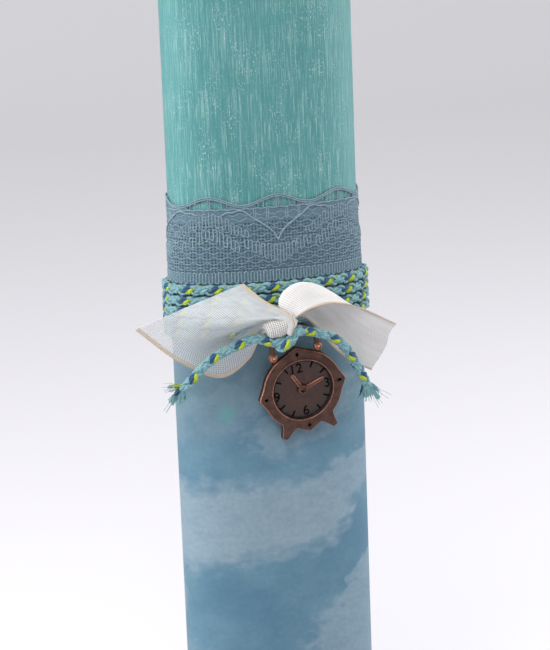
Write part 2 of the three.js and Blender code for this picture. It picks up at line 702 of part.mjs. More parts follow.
// The charm hangs on the strand, leaning in until its feet rest on the wrap
const lowest = tieUp + (RING_RADIUS + FOOT_REACH) * Math.cos(FOOT_ANGLE);
const lean = Math.asin((bailForward - FIT - CHARM_THICKNESS / 2) / lowest);
const charm = named('clock_charm', clockCharm(), COLOURS.charm);
charm.position.set(0, 0, -tieUp);
const hanging = new THREE.Group();
hanging.position.set(TIE_X, -bailForward, 0);
hanging.rotation.set(lean, -CHARM_TURN, 0, 'YXZ');
hanging.add(charm);
bow.add(hanging);

console.log('winding, least gap to itself', leastSelfGap(winding, cordRadius).toFixed(2));
console.log('knot, least gap to itself', leastSelfGap(knot, cordRadius).toFixed(2));

const group = new THREE.Group();
group.add(candle, bow);

export default group;
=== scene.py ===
# Looks of a decorated easter candle: a flat oval pillar of turquoise wax with a printed
# wrap, a lace band, wound cord, a gauze bow and a clock charm, dressed over its solids.
# Metres, +Z up, the front faces -Y.

import math
import random

import bpy
import numpy as np
from mathutils import Matrix, Vector


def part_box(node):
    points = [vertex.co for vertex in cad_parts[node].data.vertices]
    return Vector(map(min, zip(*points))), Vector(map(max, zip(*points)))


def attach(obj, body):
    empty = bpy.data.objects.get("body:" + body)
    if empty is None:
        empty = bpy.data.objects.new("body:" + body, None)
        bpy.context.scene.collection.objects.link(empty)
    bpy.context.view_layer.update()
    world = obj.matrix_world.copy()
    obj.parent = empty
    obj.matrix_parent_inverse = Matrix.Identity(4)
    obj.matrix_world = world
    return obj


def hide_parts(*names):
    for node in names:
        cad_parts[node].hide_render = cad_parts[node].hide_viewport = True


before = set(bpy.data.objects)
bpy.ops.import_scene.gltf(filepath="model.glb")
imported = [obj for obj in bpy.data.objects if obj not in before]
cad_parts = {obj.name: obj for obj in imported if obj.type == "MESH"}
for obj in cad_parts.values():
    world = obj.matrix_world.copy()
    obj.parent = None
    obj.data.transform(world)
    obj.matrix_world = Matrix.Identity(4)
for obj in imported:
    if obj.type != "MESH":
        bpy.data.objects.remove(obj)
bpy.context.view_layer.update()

MM = 0.001
DEGREE = math.pi / 180

# Camera, at the photograph's viewing angle
CAMERA_AZIMUTH = -16 * DEGREE
CAMERA_ELEVATION = 12 * DEGREE
CAMERA_ROLL = -2.2088 * DEGREE
CAMERA_DISTANCE = 552.17 * MM
CAMERA_LENS = 116.66
AIM_HEIGHT = 135.8 * MM
AIM_RIGHT = 1.926 * MM

# Candle
WAX_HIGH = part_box("wax_body")[1]
HALF_WIDTH = WAX_HIGH[0]
HALF_DEPTH = WAX_HIGH[1]
CANDLE_HEIGHT = WAX_HIGH[2]
SECTION_POWER = 2.2
RIM_ROUND = 1.2 * MM
WICK_LEAN = 2.2 * MM
WICK_STUB = 10 * MM
WICK_SUNK = 2 * MM
PLY_RADIUS = 0.58 * MM
PLY_CENTRE = 0.5 * MM

# Printed wrap and lace, as clearances outside the wax
FIT = 0.3 * MM
WRAP_BOTTOM = 1 * MM
WRAP_TOP = 159 * MM
WRAP_OUTER = 0.5 * MM
WRAP_THICKNESS = 0.25 * MM
SEAM_GAP = 0.6 * MM
LACE_BOTTOM = 150 * MM
LACE_PITCH = 17.6 * MM
LACE_GROUND = 0.65 * MM
LACE_GROUND_THICKNESS = 0.15 * MM
LACE_BAND = 19.0 * MM
LACE_VALLEY = 20.0 * MM
LACE_RISE = 2.3 * MM
HEM_HEIGHT = 3.0 * MM
STITCH = 0.82
LACE_LEAN = 0.4 * MM
LACE_LEAN_HEIGHT = 3 * MM
LACE_STEP = 0.4 * MM
LACE_CELL = 0.44 * MM

# Cord. CORD_PRESSED and CORD_FULL are the winding's thickness outwards and upwards, and
# KNOT_FULL the knot's all round, as shares of the loose cord's.
CORD_RADIUS = 1.2 * MM
CORD_PRESSED = 0.68
CORD_FULL = 1.16
CORD_CENTRE = 1.5 * MM
KNOT_FULL = 1.12
CORD_TURNS = 4
WINDING_TOP = 148.6 * MM
FRONT_ANGLE = 270 * DEGREE
DESCENT_START = 45 * DEGREE
DESCENT_END = 135 * DEGREE
TIE_X = 1.2 * MM
TIE_BEND = 2 * MM
TIE_END = 3.8 * MM
TIE_LEVEL = 137.1 * MM
WRAP_FACE = -(HALF_DEPTH + 0.7 * MM)
STRAND_END = 6.3 * MM
BRAID_PITCH = 7.3 * MM
STEPS_PER_PITCH = 22
CORE_RADIUS = 0.9 * MM

# A doubled yarn of the braid: half the step between its two strands, their size, the
# distance of its middle from the cord's, how far that swings out and in, how much fatter
# it is where it lies over, and how long it lingers there
YARN_SHIFT = 0.38 * MM
YARN_WIDTH = 0.52 * MM
YARN_THICKNESS = 0.38 * MM
YARN_MIDDLE = 0.60 * MM
YARN_SWING = 0.27 * MM
YARN_SWELL = 0.3
YARN_LINGER = 0.16

# Clock charm
RING_RADIUS = 10.7 * MM
CHARM_HALF = 1.0 * MM
DIAL_FLOOR = 0.3 * MM
LUG_REACH = 1.1 * MM
LUG_SPREAD = 17 * DEGREE
LUG_CURVE = 1.3
LUG_HOLE_INSET = 0.85 * MM
FOOT_REACH = 3.5 * MM
FOOT_SPREAD = 13 * DEGREE
FOOT_TIP = 2.6 * DEGREE
FOOT_CURVE = 2.2
FOOT_ANGLE = 30 * DEGREE
BALL_RADIUS = 1.2 * MM
BALL_CENTRE = 12.1 * MM
BALL_ANGLE = 30 * DEGREE
BAIL_RADIUS = 0.65 * MM
BAIL_LEG = 1.3 * MM
BAIL_BEND = 1.2 * MM
BAIL_FORWARD = 5.0 * MM
CHARM_TURN = 10.2 * DEGREE
HOUR_ANGLE = -25 * DEGREE
HOUR_LENGTH = 5.4 * MM
MINUTE_ANGLE = 75 * DEGREE
MINUTE_LENGTH = 6.5 * MM
HAND_HALF = 0.72 * MM
HAND_RISE = 0.72 * MM
DISH_RADIUS = 0.62 * MM
HOLE_RADIUS = 0.46 * MM
HOLE_DEPTH = 1.0 * MM
NUMBER_SIZE = 3.7 * MM
CHARM_STEPS = 480

BAIL_ARCH = BALL_CENTRE * math.sin(BALL_ANGLE)
BAIL_SHOULDER = BALL_CENTRE * math.cos(BALL_ANGLE) + BAIL_LEG
TIE_UP = BAIL_SHOULDER + BAIL_ARCH - BAIL_RADIUS - FIT - CORD_RADIUS

# The casting's face in millimetres, from the dial's middle out: radius, height over the
# casting's middle plane, and wear, which is bright over 0 and dirty under it
FACE = [
    (0.0, 0.30, -0.3), (2.0, 0.30, -0.3), (4.0, 0.29, -0.35), (6.0, 0.27, -0.45), (7.3, 0.26, -0.7),
    (7.75, 0.27, -1.0), (7.92, 0.34, -1.0), (7.98, 0.66, -0.5), (8.04, 0.98, 0.2), (8.12, 1.1, 0.6),
    (8.22, 1.15, 0.7), (8.34, 1.13, 0.5), (8.46, 1.04, 0.0), (8.6, 0.98, -0.2),
]
# The same for its edge, by the distance in from its outline
EDGE = [
    (1.3, 1.02, -0.1), (0.8, 1.04, 0.0), (0.5, 1.02, 0.1), (0.34, 0.98, 0.35), (0.2, 0.9, 0.7),
    (0.09, 0.78, 0.8), (0.02, 0.64, 0.6), (0.0, 0.4, 0.2), (0.0, 0.0, 0.0), (0.0, -0.5, 0.0),
    (0.06, -0.8, 0.2), (0.2, -0.95, 0.2), (0.5, -1.0, 0.0),
]
# The same for the hub, by the height over the dial
HUB = [
    (1.45, -0.2, -0.6), (1.42, 0.3, -0.2), (1.36, 0.62, 0.1), (1.2, 0.82, 0.4), (0.95, 0.9, 0.4),
    (0.74, 0.84, 0.2), (0.62, 0.66, -0.4), (0.56, 0.3, -1.0), (0.3, 0.18, -1.1), (0.02, 0.16, -1.1),
]
# Each number with its angle from twelve and the distance of its middle from the hub
NUMERALS = [("12", 0, 6.3), ("3", 90, 6.75), ("6", 180, 6.2), ("9", 270, 6.95)]

# Lines of the bow in millimetres, from the point on the wrap's face level with the tie
BOW = Vector((0, WRAP_FACE, TIE_LEVEL))
TAIL_LEFT = [
    (-5.9, -9.0, -0.8), (-9.5, -8.3, 0.2), (-12.9, -7.3, -1.0), (-17.6, -6.4, -3.0),
    (-20.3, -5.9, -4.6), (-23.1, -5.5, -6.8), (-25.5, -5.2, -9.4), (-27.7, -4.8, -11.5),
    (-30.7, -4.4, -12.9),
]
TAIL_RIGHT = [
    (3.4, -8.8, 1.1), (5.6, -8.7, 0.6), (8.7, -8.6, -0.4), (11.7, -8.0, -1.9),
    (14.6, -7.2, -4.6), (16.6, -6.3, -7.6), (18.4, -5.3, -10.3), (19.8, -4.4, -13.1),
    (21.9, -3.6, -17.1),
]
KNOT = [
    (-5.9, -9.0, -0.8), (-4.6, -9.7, -0.8), (-3.2, -9.9, -0.4), (-2.0, -9.3, 0.6),
    (-1.9, -8.6, 1.6), (-2.8, -8.2, 1.2), (-3.6, -8.2, -0.2), (-3.8, -8.9, -1.6),
    (-3.2, -10.0, -2.1), (-2.2, -10.8, -1.7), (-1.2, -11.2, -0.6), (-0.2, -11.0, 0.5),
    (0.9, -10.4, 1.3), (2.1, -9.5, 1.5), (3.4, -8.8, 1.1),
]
# The ribbon's tails, from the knot to the cut end, upper selvedge first
RIBBON_LEFT = [
    [(-1.2, -12.5, 1.0), (-0.4, -12.8, 3.6), (-0.9, -12.0, 5.8), (-2.2, -10.9, 7.1), (-4.4, -9.4, 8.3),
     (-6.9, -7.9, 9.9), (-9.2, -6.7, 12.0), (-11.3, -5.8, 14.1)],
    [(-1.9, -12.3, 1.2), (-1.6, -12.5, 3.4), (-2.4, -11.9, 5.2), (-4.0, -11.2, 6.0), (-6.6, -10.7, 6.9),
     (-11.0, -9.9, 8.4), (-15.6, -8.4, 10.2), (-20.1, -6.8, 11.6)],
    [(-3.0, -10.2, 3.0), (-3.6, -10.6, 4.6), (-4.6, -11.0, 5.3), (-6.4, -11.2, 5.4), (-9.6, -11.5, 5.2),
     (-15.4, -11.2, 4.7), (-22.4, -9.4, 6.0), (-28.7, -6.8, 8.9)],
    [(-5.0, -9.6, 2.6), (-5.8, -9.5, 3.0), (-6.6, -9.2, 3.2), (-7.8, -8.0, 2.8), (-10.6, -5.2, 1.6),
     (-16.9, -3.5, -1.0), (-25.6, -4.2, -1.2), (-33.8, -4.8, 6.6)],
    [(-6.0, -9.2, 1.6), (-6.4, -8.9, 1.6), (-6.9, -8.0, 1.2), (-7.6, -5.8, 0.0), (-9.9, -2.9, -6.2),
     (-17.3, -1.2, -10.6), (-28.2, -2.8, -5.0), (-39.0, -2.8, 4.4)],
]
RIBBON_RIGHT = [
    [(0.3, -10.4, 4.2), (1.2, -11.6, 5.7), (4.5, -12.3, 7.4),
     (10.8, -10.8, 7.8), (19.2, -7.8, 5.2), (29.3, -4.8, -0.2)],
    [(-1.2, -9.6, 5.4), (-3.1, -8.7, 8.4), (-1.4, -8.7, 12.0), (3.4, -8.9, 13.7),
     (10.4, -7.3, 10.5), (19.7, -5.8, 1.3), (27.7, -4.3, -2.7)],
    [(0.6, -7.8, 5.2), (1.6, -5.6, 7.1), (5.4, -4.3, 5.2),
     (11.8, -3.9, 2.2), (19.6, -3.3, -4.0), (26.8, -2.8, -6.9)],
    [(0.7, -7.9, 4.0), (4.4, -5.4, 4.0), (9.0, -3.4, -0.6),
     (13.4, -2.2, -6.0), (18.2, -1.3, -9.8), (23.5, -0.8, -12.8)],
]
# The gathered ribbon over the bow's middle: each station's place along it, the height of
# its middle and half its height and depth
BEAN = [
    (-7.5, 2.8, 0.5, 0.4), (-7.2, 2.8, 1.6, 1.3), (-6.2, 2.75, 2.3, 1.9), (-4.4, 3.0, 2.5, 2.1),
    (-2.6, 3.5, 2.6, 2.1), (-1.0, 4.1, 2.5, 2.0), (0.2, 4.6, 1.9, 1.5), (0.8, 4.8, 0.6, 0.5),
]
BEAN_FORWARD = -10.2
RIBBON_WIDTH = 25 * MM
GAUZE_THICKNESS = 0.12 * MM
SELVEDGE_WIDTH = 1.0 * MM
SELVEDGE_THICKNESS = 0.4 * MM

# The lace's thick threads on one side of its V, in millimetres from the V's middle
MOTIF_LINES = [
    [(0, 10.6), (0.9, 12.3), (2.2, 13.7), (4.6, 15.4), (6.6, 16.7), (8.8, 18.4)],
    [(8.8, 18.4), (10.2, 18.6), (11.6, 18.1), (13.0, 18.2), (14.4, 17.5)],
]
# The motif's runs of upright stitches over half a repeat of two scallops, in millimetres:
# where a run starts and ends, its lower edge and its upper edge at both ends
MOTIF_RUNS = [
    (0.41, 4.51, (4.4, 6.8), (9.5, 9.9)),
    (4.9, 8.7, (7.0, 9.2), (10.2, 11.2)),
    (7.6, 12.0, (11.6, 12.6), (13.0, 15.6)),
    (10.2, 15.0, (8.0, 10.2), (10.2, 13.4)),
    (12.6, 17.6, (13.6, 14.8), (16.4, 18.4)),
    (15.6, 17.6, (10.8, 11.6), (13.8, 14.2)),
]
# The print's pale clouds: distance round the candle from the front's middle and height of
# each end, half height at each end, all in millimetres, and strength
CLOUDS = [
    ((-40, 84), (10, 88), 12.5, 9.5, 1),
    ((0, 88), (30, 100), 8, 5, 0.85),
    ((-3, 108), (12, 118), 6, 7.5, 0.5),
    ((-30, 112), (-10, 120), 5, 6, 0.25),
    ((12, 52), (26, 70), 7, 4, 0.75),
    ((14, 46), (34, 56), 11, 14, 0.75),
    ((-30, 50), (-10, 46), 4, 3, 0.2),
    ((-28, 20), (10, 26), 9, 5, 0.5),
    ((45, 110), (72, 100), 10, 12, 0.9),
    ((-66, 60), (-40, 66), 10, 9, 0.8),
    ((-68, 120), (-46, 126), 8, 6, 0.6),
    ((40, 30), (64, 36), 8, 9, 0.6),
]

# Studio, in metres
FLOOR_FRONT = -2.5
FLOOR_BACK = 1.6
BACKDROP_CURVE = 0.8
BACKDROP_TOP = 3.6
STUDIO_HALF = 3.0
FLOOR_GLOW = 0.36
WORLD_LIGHT = 0.47
WORLD_SEEN = 0.76
LAMP_AIM = Vector((0, 0, 0.14))
LAMP_SIZE = 0.5
LAMPS = [
    ("left_lamp", (-0.75, 0.0, 0.42), 4.4),
    ("right_lamp", (0.75, -0.05, 0.35), 3.9),
    ("top_lamp", (-0.3, -0.5, 0.85), 4.4),
]


def colour(red, green, blue):
    """An sRGB colour of 0 to 255 as linear numbers."""
    def linear(value):
        share = value / 255
        return share / 12.92 if share <= 0.04045 else ((share + 0.055) / 1.055) ** 2.4
    return (linear(red), linear(green), linear(blue), 1)


class Material:
    """A Principled material whose nodes are added by short calls."""

    def __init__(self, name, base, roughness, **inputs):
        self.material = bpy.data.materials.new(name)
        self.material.use_nodes = True
        self.tree = self.material.node_tree
        self.set(Base_Color=base, Roughness=roughness, **inputs)

    def feed(self, socket, value):
        if isinstance(value, bpy.types.NodeSocket):
            self.tree.links.new(value, socket)
        else:
            socket.default_value = value

    def fill(self, node, inputs):
        """Sets or links a node's inputs by their names, with _ for a space."""
        for name, value in inputs.items():
            self.feed(node.inputs[name.replace("_", " ")], value)
        return node

    def set(self, **inputs):
        self.fill(self.tree.nodes["Principled BSDF"], inputs)

    def node(self, kind, **inputs):
        return self.fill(self.tree.nodes.new("ShaderNode" + kind), inputs)

    def uv(self, across=1.0, up=1.0):
        """The piece's own coordinates in metres, times a scale each way."""
        source = self.node("UVMap").outputs["UV"]
        return self.node("Mapping", Vector=source, Scale=(across, up, 1)).outputs["Vector"]

    def place(self, scale):
        """The piece's place in metres, times a scale."""
        source = self.node("TexCoord").outputs["Object"]
        return self.node("Mapping", Vector=source, Scale=[scale] * 3).outputs["Vector"]

    def attribute(self, name):
        made = self.node("Attribute")
        made.attribute_name = name
        return made.outputs["Fac"]

    def noise(self, vector, detail=2.0, roughness=0.5):
        made = self.node("TexNoise", Vector=vector, Scale=1, Detail=detail, Roughness=roughness)
        return made.outputs["Fac"]

    def math(self, operation, first, second=0.0, clamp=False):
        made = self.node("Math")
        made.operation = operation
        made.use_clamp = clamp
        self.feed(made.inputs[0], first)
        self.feed(made.inputs[1], second)
        return made.outputs[0]

    def times(self, first, second):
        return self.math("MULTIPLY", first, second)

    def plus(self, first, second, clamp=False):
        return self.math("ADD", first, second, clamp)

    def ridges(self, value):
        """0 at each whole number and 1 halfway between them."""
        return self.math("ABSOLUTE", self.math("SINE", self.times(value, math.pi)))

    def vector_math(self, operation, first, second=(0, 0, 0)):
        made = self.node("VectorMath")
        made.operation = operation
        self.feed(made.inputs[0], first)
        self.feed(made.inputs[1], second)
        return made.outputs["Value"] if operation == "LENGTH" else made.outputs["Vector"]

    def split(self, vector):
        return self.node("SeparateXYZ", Vector=vector).outputs[:]

    def stretch(self, value, low, high, new_low=0.0, new_high=1.0):
        """Maps low..high of a value smoothly to new_low..new_high."""
        made = self.node("MapRange", Value=value, From_Min=low, From_Max=high,
                         To_Min=new_low, To_Max=new_high)
        made.interpolation_type = "SMOOTHSTEP"
        return made.outputs["Result"]

    def mix(self, factor, first, second):
        made = self.node("Mix", Factor=factor)
        made.data_type = "RGBA"
        self.feed(made.inputs[6], first)
        self.feed(made.inputs[7], second)
        return made.outputs[2]

    def bump(self, height, distance, strength=1.0):
        made = self.node("Bump", Height=height, Distance=distance, Strength=strength)
        self.set(Normal=made.outputs["Normal"])


def wax_material():
    """Brushed wax: dark and pale streaks down it, thin scratches, and pale flecks that
    gather in patches, most of them in the middle of the front and low down."""
    wax = Material("turquoise_wax", colour(100, 158, 156), 0.45, Specular_IOR_Level=0.35)
    wax.set(Subsurface_Weight=0.3, Subsurface_Scale=4 * MM, Subsurface_Radius=(0.5, 1.0, 1.0))
    clouding = wax.noise(wax.uv(60, 18), detail=4)
    streaks = wax.noise(wax.uv(1700, 55), detail=4, roughness=0.7)
    lines = wax.noise(wax.uv(4200, 120), detail=3, roughness=0.7)
    flecks = wax.noise(wax.uv(3000, 1300), detail=2, roughness=0.6)
    dots = wax.noise(wax.uv(5200, 3600), detail=1, roughness=0.5)
    patches = wax.noise(wax.uv(170, 90), detail=3, roughness=0.65)
    across, up, _ = wax.split(wax.uv())
    worn = wax.stretch(wax.math("ABSOLUTE", wax.plus(across, 0.003)), 0.030, 0.010)
    worn = wax.times(worn, wax.stretch(up, 0.25, 0.17, 0.5, 1))
    worn = wax.plus(worn, 0.35, clamp=True)
    base = wax.mix(wax.stretch(clouding, 0.3, 0.7), colour(81, 147, 146), colour(91, 154, 154))
    base = wax.mix(wax.stretch(streaks, 0.5, 0.72, 0, 0.6), base, colour(158, 198, 195))
    base = wax.mix(wax.stretch(streaks, 0.48, 0.28, 0, 0.5), base, colour(62, 126, 126))
    scratch = wax.times(wax.stretch(lines, 0.54, 0.66, 0, 0.6), worn)
    base = wax.mix(scratch, base, colour(184, 214, 210))
    gathered = wax.times(wax.stretch(patches, 0.44, 0.64, 0.14, 1), worn)
    speck = wax.times(wax.stretch(flecks, 0.57, 0.7, 0, 0.8), gathered)
    base = wax.mix(speck, base, colour(208, 230, 225))
    point = wax.times(wax.stretch(dots, 0.66, 0.75, 0, 0.75), gathered)
    base = wax.mix(point, base, colour(220, 236, 232))
    wax.set(Base_Color=base)
    relief = wax.plus(streaks, wax.times(lines, 0.7))
    relief = wax.plus(relief, wax.times(speck, 0.5))
    wax.bump(relief, 0.12 * MM, 0.8)
    return wax.material


def wick_material():
    cotton = Material("waxed_cotton", colour(232, 228, 214), 0.85)
    ply = cotton.noise(cotton.place(900), detail=2)
    cotton.set(Base_Color=cotton.mix(ply, colour(206, 200, 180), colour(242, 239, 228)))
    cotton.bump(ply, 0.1 * MM)
    return cotton.material


def cloud_cover(wrap, spot, cloud):
    """1 in the middle of a long cloud between two ends, down to 0 at its edge."""
    start, end, start_half, end_half, strength = cloud
    run = (Vector(end) - Vector(start)) * MM
    length = run.length
    run.normalize()
    x, y, _ = wrap.split(wrap.vector_math("SUBTRACT", spot, (start[0] * MM, start[1] * MM, 0)))
    along = wrap.plus(wrap.times(x, run.x), wrap.times(y, run.y))
    side = wrap.math("SUBTRACT", wrap.times(y, run.x), wrap.times(x, run.y))
    share = wrap.math("DIVIDE", along, length, clamp=True)
    half = wrap.plus(wrap.times(share, (end_half - start_half) * MM), start_half * MM)
    past = wrap.math("SUBTRACT", along, wrap.times(share, length))
    away = wrap.plus(wrap.math("POWER", past, 2), wrap.math("POWER", side, 2))
    away = wrap.math("POWER", away, 0.5)
    return wrap.stretch(wrap.math("DIVIDE", away, half), 1.3, 0.6, 0, strength)


def wrap_material():
    """A watercolour sky: blue washes, pale clouds with drifting edges, blots towards the
    top and one green smudge, on a fine weave."""
    wrap = Material("cloud_print", colour(112, 146, 166), 0.85, Specular_IOR_Level=0.2,
                    Sheen_Weight=0.15)
    drift = wrap.node("TexNoise", Vector=wrap.uv(42, 66), Scale=5, Detail=3, Roughness=0.45)
    shift = wrap.vector_math("SUBTRACT", drift.outputs["Color"], (0.5, 0.5, 0.5))
    shift = wrap.vector_math("MULTIPLY", shift, (0.018, 0.011, 0))
    warped = wrap.vector_math("ADD", wrap.uv(), shift)
    cover = 0.0
    for cloud in CLOUDS:
        cover = wrap.math("MAXIMUM", cover, cloud_cover(wrap, warped, cloud))
    washes = wrap.noise(wrap.uv(34, 48), detail=5, roughness=0.55)
    blots = wrap.noise(wrap.uv(150, 190), detail=5, roughness=0.65)
    grain = wrap.noise(wrap.uv(700, 700), detail=3, roughness=0.75)
    height = wrap.split(wrap.uv())[1]
    base = wrap.mix(wrap.stretch(washes, 0.36, 0.64), colour(90, 130, 152), colour(109, 146, 164))
    upper = wrap.stretch(height, 0.098, 0.126, 0, 0.75)
    base = wrap.mix(upper, base, colour(114, 138, 149))
    base = wrap.mix(wrap.times(cover, 0.8), base, colour(152, 171, 183))
    mottle = wrap.stretch(height, 0.09, 0.12, 0.12, 0.3)
    mottle = wrap.times(wrap.stretch(blots, 0.55, 0.32), mottle)
    base = wrap.mix(mottle, base, colour(78, 118, 136))
    base = wrap.mix(wrap.stretch(grain, 0.35, 0.68, 0.16, 0), base, colour(70, 100, 120))
    smudge = wrap.vector_math("SUBTRACT", wrap.uv(), (-0.0150, 0.1158, 0))
    smudge = wrap.vector_math("LENGTH", wrap.vector_math("MULTIPLY", smudge, (400, 330, 0)))
    smudge = wrap.plus(smudge, wrap.stretch(blots, 0.3, 0.7, -0.4, 0.4))
    base = wrap.mix(wrap.stretch(smudge, 1.1, 0.3, 0, 0.5), base, colour(98, 160, 156))
    wrap.set(Base_Color=base)
    weave = wrap.node("TexWave", Vector=wrap.uv(2200, 0), Scale=0.5)
    weft = wrap.noise(wrap.uv(600, 2600), detail=2)
    relief = wrap.plus(wrap.times(weave.outputs["Fac"], 0.4), weft)
    wrap.bump(relief, 0.05 * MM, 0.7)
    return wrap.material


def yarn_material(name, dark, pale):
    yarn = Material(name, pale, 0.85, Specular_IOR_Level=0.25, Sheen_Weight=0.2,
                    Sheen_Roughness=0.5)
    around, along, _ = yarn.split(yarn.uv())
    ply = yarn.ridges(yarn.plus(yarn.times(around, 5), yarn.times(along, 900)))
    fibre = yarn.noise(yarn.place(3200), detail=3, roughness=0.7)
    tone = yarn.plus(yarn.times(ply, 0.2), yarn.times(fibre, 0.85))
    yarn.set(Base_Color=yarn.mix(yarn.stretch(tone, 0.3, 0.85), dark, pale))
    yarn.bump(tone, 0.08 * MM, 0.7)
    return yarn.material


def lace_material(name, dark, pale):
    lace = Material(name, pale, 0.9, Specular_IOR_Level=0.15, Sheen_Weight=0.25)
    fibre = lace.noise(lace.place(2600), detail=3, roughness=0.7)
    lace.set(Base_Color=lace.mix(lace.stretch(fibre, 0.3, 0.7), dark, pale))
    lace.bump(fibre, 0.06 * MM, 0.8)
    return lace.material


def gauze_threads(gauze, spacing):
    """Brightness of an open plain weave: 1 on a thread, 0 in the middle of a gap."""
    across, along, _ = gauze.split(gauze.uv(1 / spacing, 1 / spacing))
    return gauze.math("MAXIMUM", gauze.ridges(across), gauze.ridges(along))


def gauze_material(name, least, most, thread, gap, spacing=0.40 * MM):
    """An open weave that covers between least and most of what is behind it."""
    gauze = Material(name, thread, 0.75, Specular_IOR_Level=0.2, Sheen_Weight=0.2)
    threads = gauze_threads(gauze, spacing)
    slub = gauze.noise(gauze.uv(500, 90), detail=3)
    gauze.set(Base_Color=gauze.mix(gauze.stretch(threads, 0.5, 0.95), gap, thread))
    cover = gauze.stretch(threads, 0.45, 0.95, least, most)
    cover = gauze.plus(cover, gauze.stretch(slub, 0.3, 0.7, -0.05, 0.05), clamp=True)
    cover = gauze.times(cover, gauze.math("SUBTRACT", 1, gauze.attribute("open")))
    gauze.set(Alpha=cover)
    gauze.bump(threads, 0.06 * MM, 0.6)
    return gauze.material


def selvedge_material():
    edge = Material("selvedge", colour(224, 214, 200), 0.8, Specular_IOR_Level=0.2,
                    Sheen_Weight=0.2)
    threads = gauze_threads(edge, 0.3 * MM)
    edge.set(Base_Color=edge.mix(threads, colour(184, 164, 142), colour(224, 208, 190)))
    edge.bump(threads, 0.08 * MM)
    return edge.material


def copper_material():
    """Dark plating that is worn bright, or dirty, as far as the wear attribute says. Values
    over 1.2, which only the middles of the balls' dishes reach, are a painted highlight.
    """
    copper = Material("antiqued_copper", colour(96, 66, 54), 0.42, Metallic=0.9)
    tarnish = copper.noise(copper.place(420), detail=5, roughness=0.65)
    grain = copper.noise(copper.place(2400), detail=3, roughness=0.7)
    wear_and_highlight = copper.plus(copper.attribute("wear_and_highlight"), copper.stretch(grain, 0.2, 0.8, -0.2, 0.2))
    base = copper.mix(copper.stretch(tarnish, 0.35, 0.7), colour(70, 52, 47), colour(99, 72, 63))
    base = copper.mix(copper.stretch(wear_and_highlight, 0.3, 1.0), base, colour(190, 132, 108))
    # Painted highlight: the brightest orange, only in the middles of the balls' dishes
    base = copper.mix(copper.stretch(wear_and_highlight, 1.2, 1.6), base, colour(236, 154, 116))
    base = copper.mix(copper.stretch(wear_and_highlight, -0.1, -0.6), base, colour(72, 62, 60))
    base = copper.mix(copper.stretch(wear_and_highlight, -0.6, -1.1), base, colour(30, 25, 24))
    copper.set(Base_Color=base)
    copper.set(Roughness=copper.stretch(tarnish, 0.3, 0.7, 0.38, 0.56))
    copper.bump(copper.plus(tarnish, copper.times(grain, 0.4)), 0.05 * MM, 0.8)
    return copper.material


def paint_material():
    return Material("black_paint", colour(16, 13, 13), 0.9, Specular_IOR_Level=0.05).material


CORD_MATERIALS = [
    yarn_material("turquoise_yarn", colour(88, 138, 147), colour(158, 196, 200)),
    yarn_material("blue_yarn", colour(24, 58, 92), colour(70, 112, 146)),
    yarn_material("lime_yarn", colour(140, 164, 30), colour(204, 216, 66)),
]
LACE_GROUND_MATERIAL = lace_material("lace_net", colour(85, 111, 127), colour(110, 135, 148))
LACE_THREAD_MATERIAL = lace_material("lace_thread", colour(108, 134, 146), colour(149, 172, 182))
GAUZE_LEFT = gauze_material("sheer_gauze", 0.16, 0.63,
                            colour(240, 240, 240), colour(205, 218, 226))
# Whiter than the left tail's gauze: painted light, where the loop faces the lamps. Doubled, it covers
# more.
GAUZE_RIGHT = gauze_material("doubled_gauze_painted_light", 0.6, 0.95,
                             colour(248, 244, 241), colour(225, 223, 223))
# Its dark gap colour is painted shade: the tight weave's holes, where only shade shows, are dark dots.
GAUZE_TIGHT = gauze_material("gathered_gauze_painted_shade", 0.95, 1.0,
                             colour(236, 234, 229), colour(120, 116, 104), spacing=0.46 * MM)
SELVEDGE = selvedge_material()
COPPER = copper_material()
PAINT = paint_material()


def lengths_along(points):
    """The distance from a line's start to each of its points."""
    steps = np.linalg.norm(np.diff(points, axis=0), axis=1)
    return np.concatenate([[0], np.cumsum(steps)])


def oval(angle, offset):
    """Points of the candle's section, moved outwards by offset."""
    power = 2 / SECTION_POWER
    c = np.cos(angle)
    s = np.sin(angle)
    x = HALF_WIDTH * np.sign(c) * np.abs(c) ** power
    y = HALF_DEPTH * np.sign(s) * np.abs(s) ** power
    normal_x = np.sign(c) * np.abs(c) ** (2 - power) / HALF_WIDTH
    normal_y = np.sign(s) * np.abs(s) ** (2 - power) / HALF_DEPTH
    length = np.hypot(normal_x, normal_y)
    return x + offset * normal_x / length, y + offset * normal_y / length


class Ruler:
    """Measures the way round the oval from the middle of the front, to the right. Its reach
    is how far a sheet goes each way that leaves the seam's gap at the back."""

    def __init__(self, offset):
        self.angles = np.linspace(-math.pi / 2, 3 * math.pi / 2, 7201)
        self.lengths = lengths_along(np.stack(oval(self.angles, offset), axis=-1))
        self.round = self.lengths[-1]
        self.reach = (self.round - SEAM_GAP) / 2

    def angle(self, distance):
        return np.interp(np.mod(distance, self.round), self.lengths, self.angles)


def on_candle(ruler, distance, height, offset):
    """Points at a distance round the candle, a height and an offset outside the wax."""
    x, y = oval(ruler.angle(distance), offset)
    return np.stack(np.broadcast_arrays(x, y, height), axis=-1)


def new_object(name, data):
    obj = bpy.data.objects.new(name, data)
    bpy.context.collection.objects.link(obj)
    return obj


def new_mesh(name, points, faces, materials, uvs=None, slots=None, smooth=True):
    """A mesh object. uvs go with the points, and slots with the faces."""
    mesh = bpy.data.meshes.new(name)
    mesh.from_pydata([tuple(p) for p in np.asarray(points, float)], [], faces)
    for material in materials:
        mesh.materials.append(material)
    if slots is not None:
        mesh.polygons.foreach_set("material_index", slots)
    mesh.polygons.foreach_set("use_smooth", [smooth] * len(mesh.polygons))
    if uvs is not None:
        corners = np.empty(len(mesh.loops), dtype=np.int32)
        mesh.loops.foreach_get("vertex_index", corners)
        layer = mesh.uv_layers.new(name="UVMap")
        layer.data.foreach_set("uv", np.asarray(uvs, np.float32)[corners].ravel())
    mesh.update()
    return new_object(name, mesh)


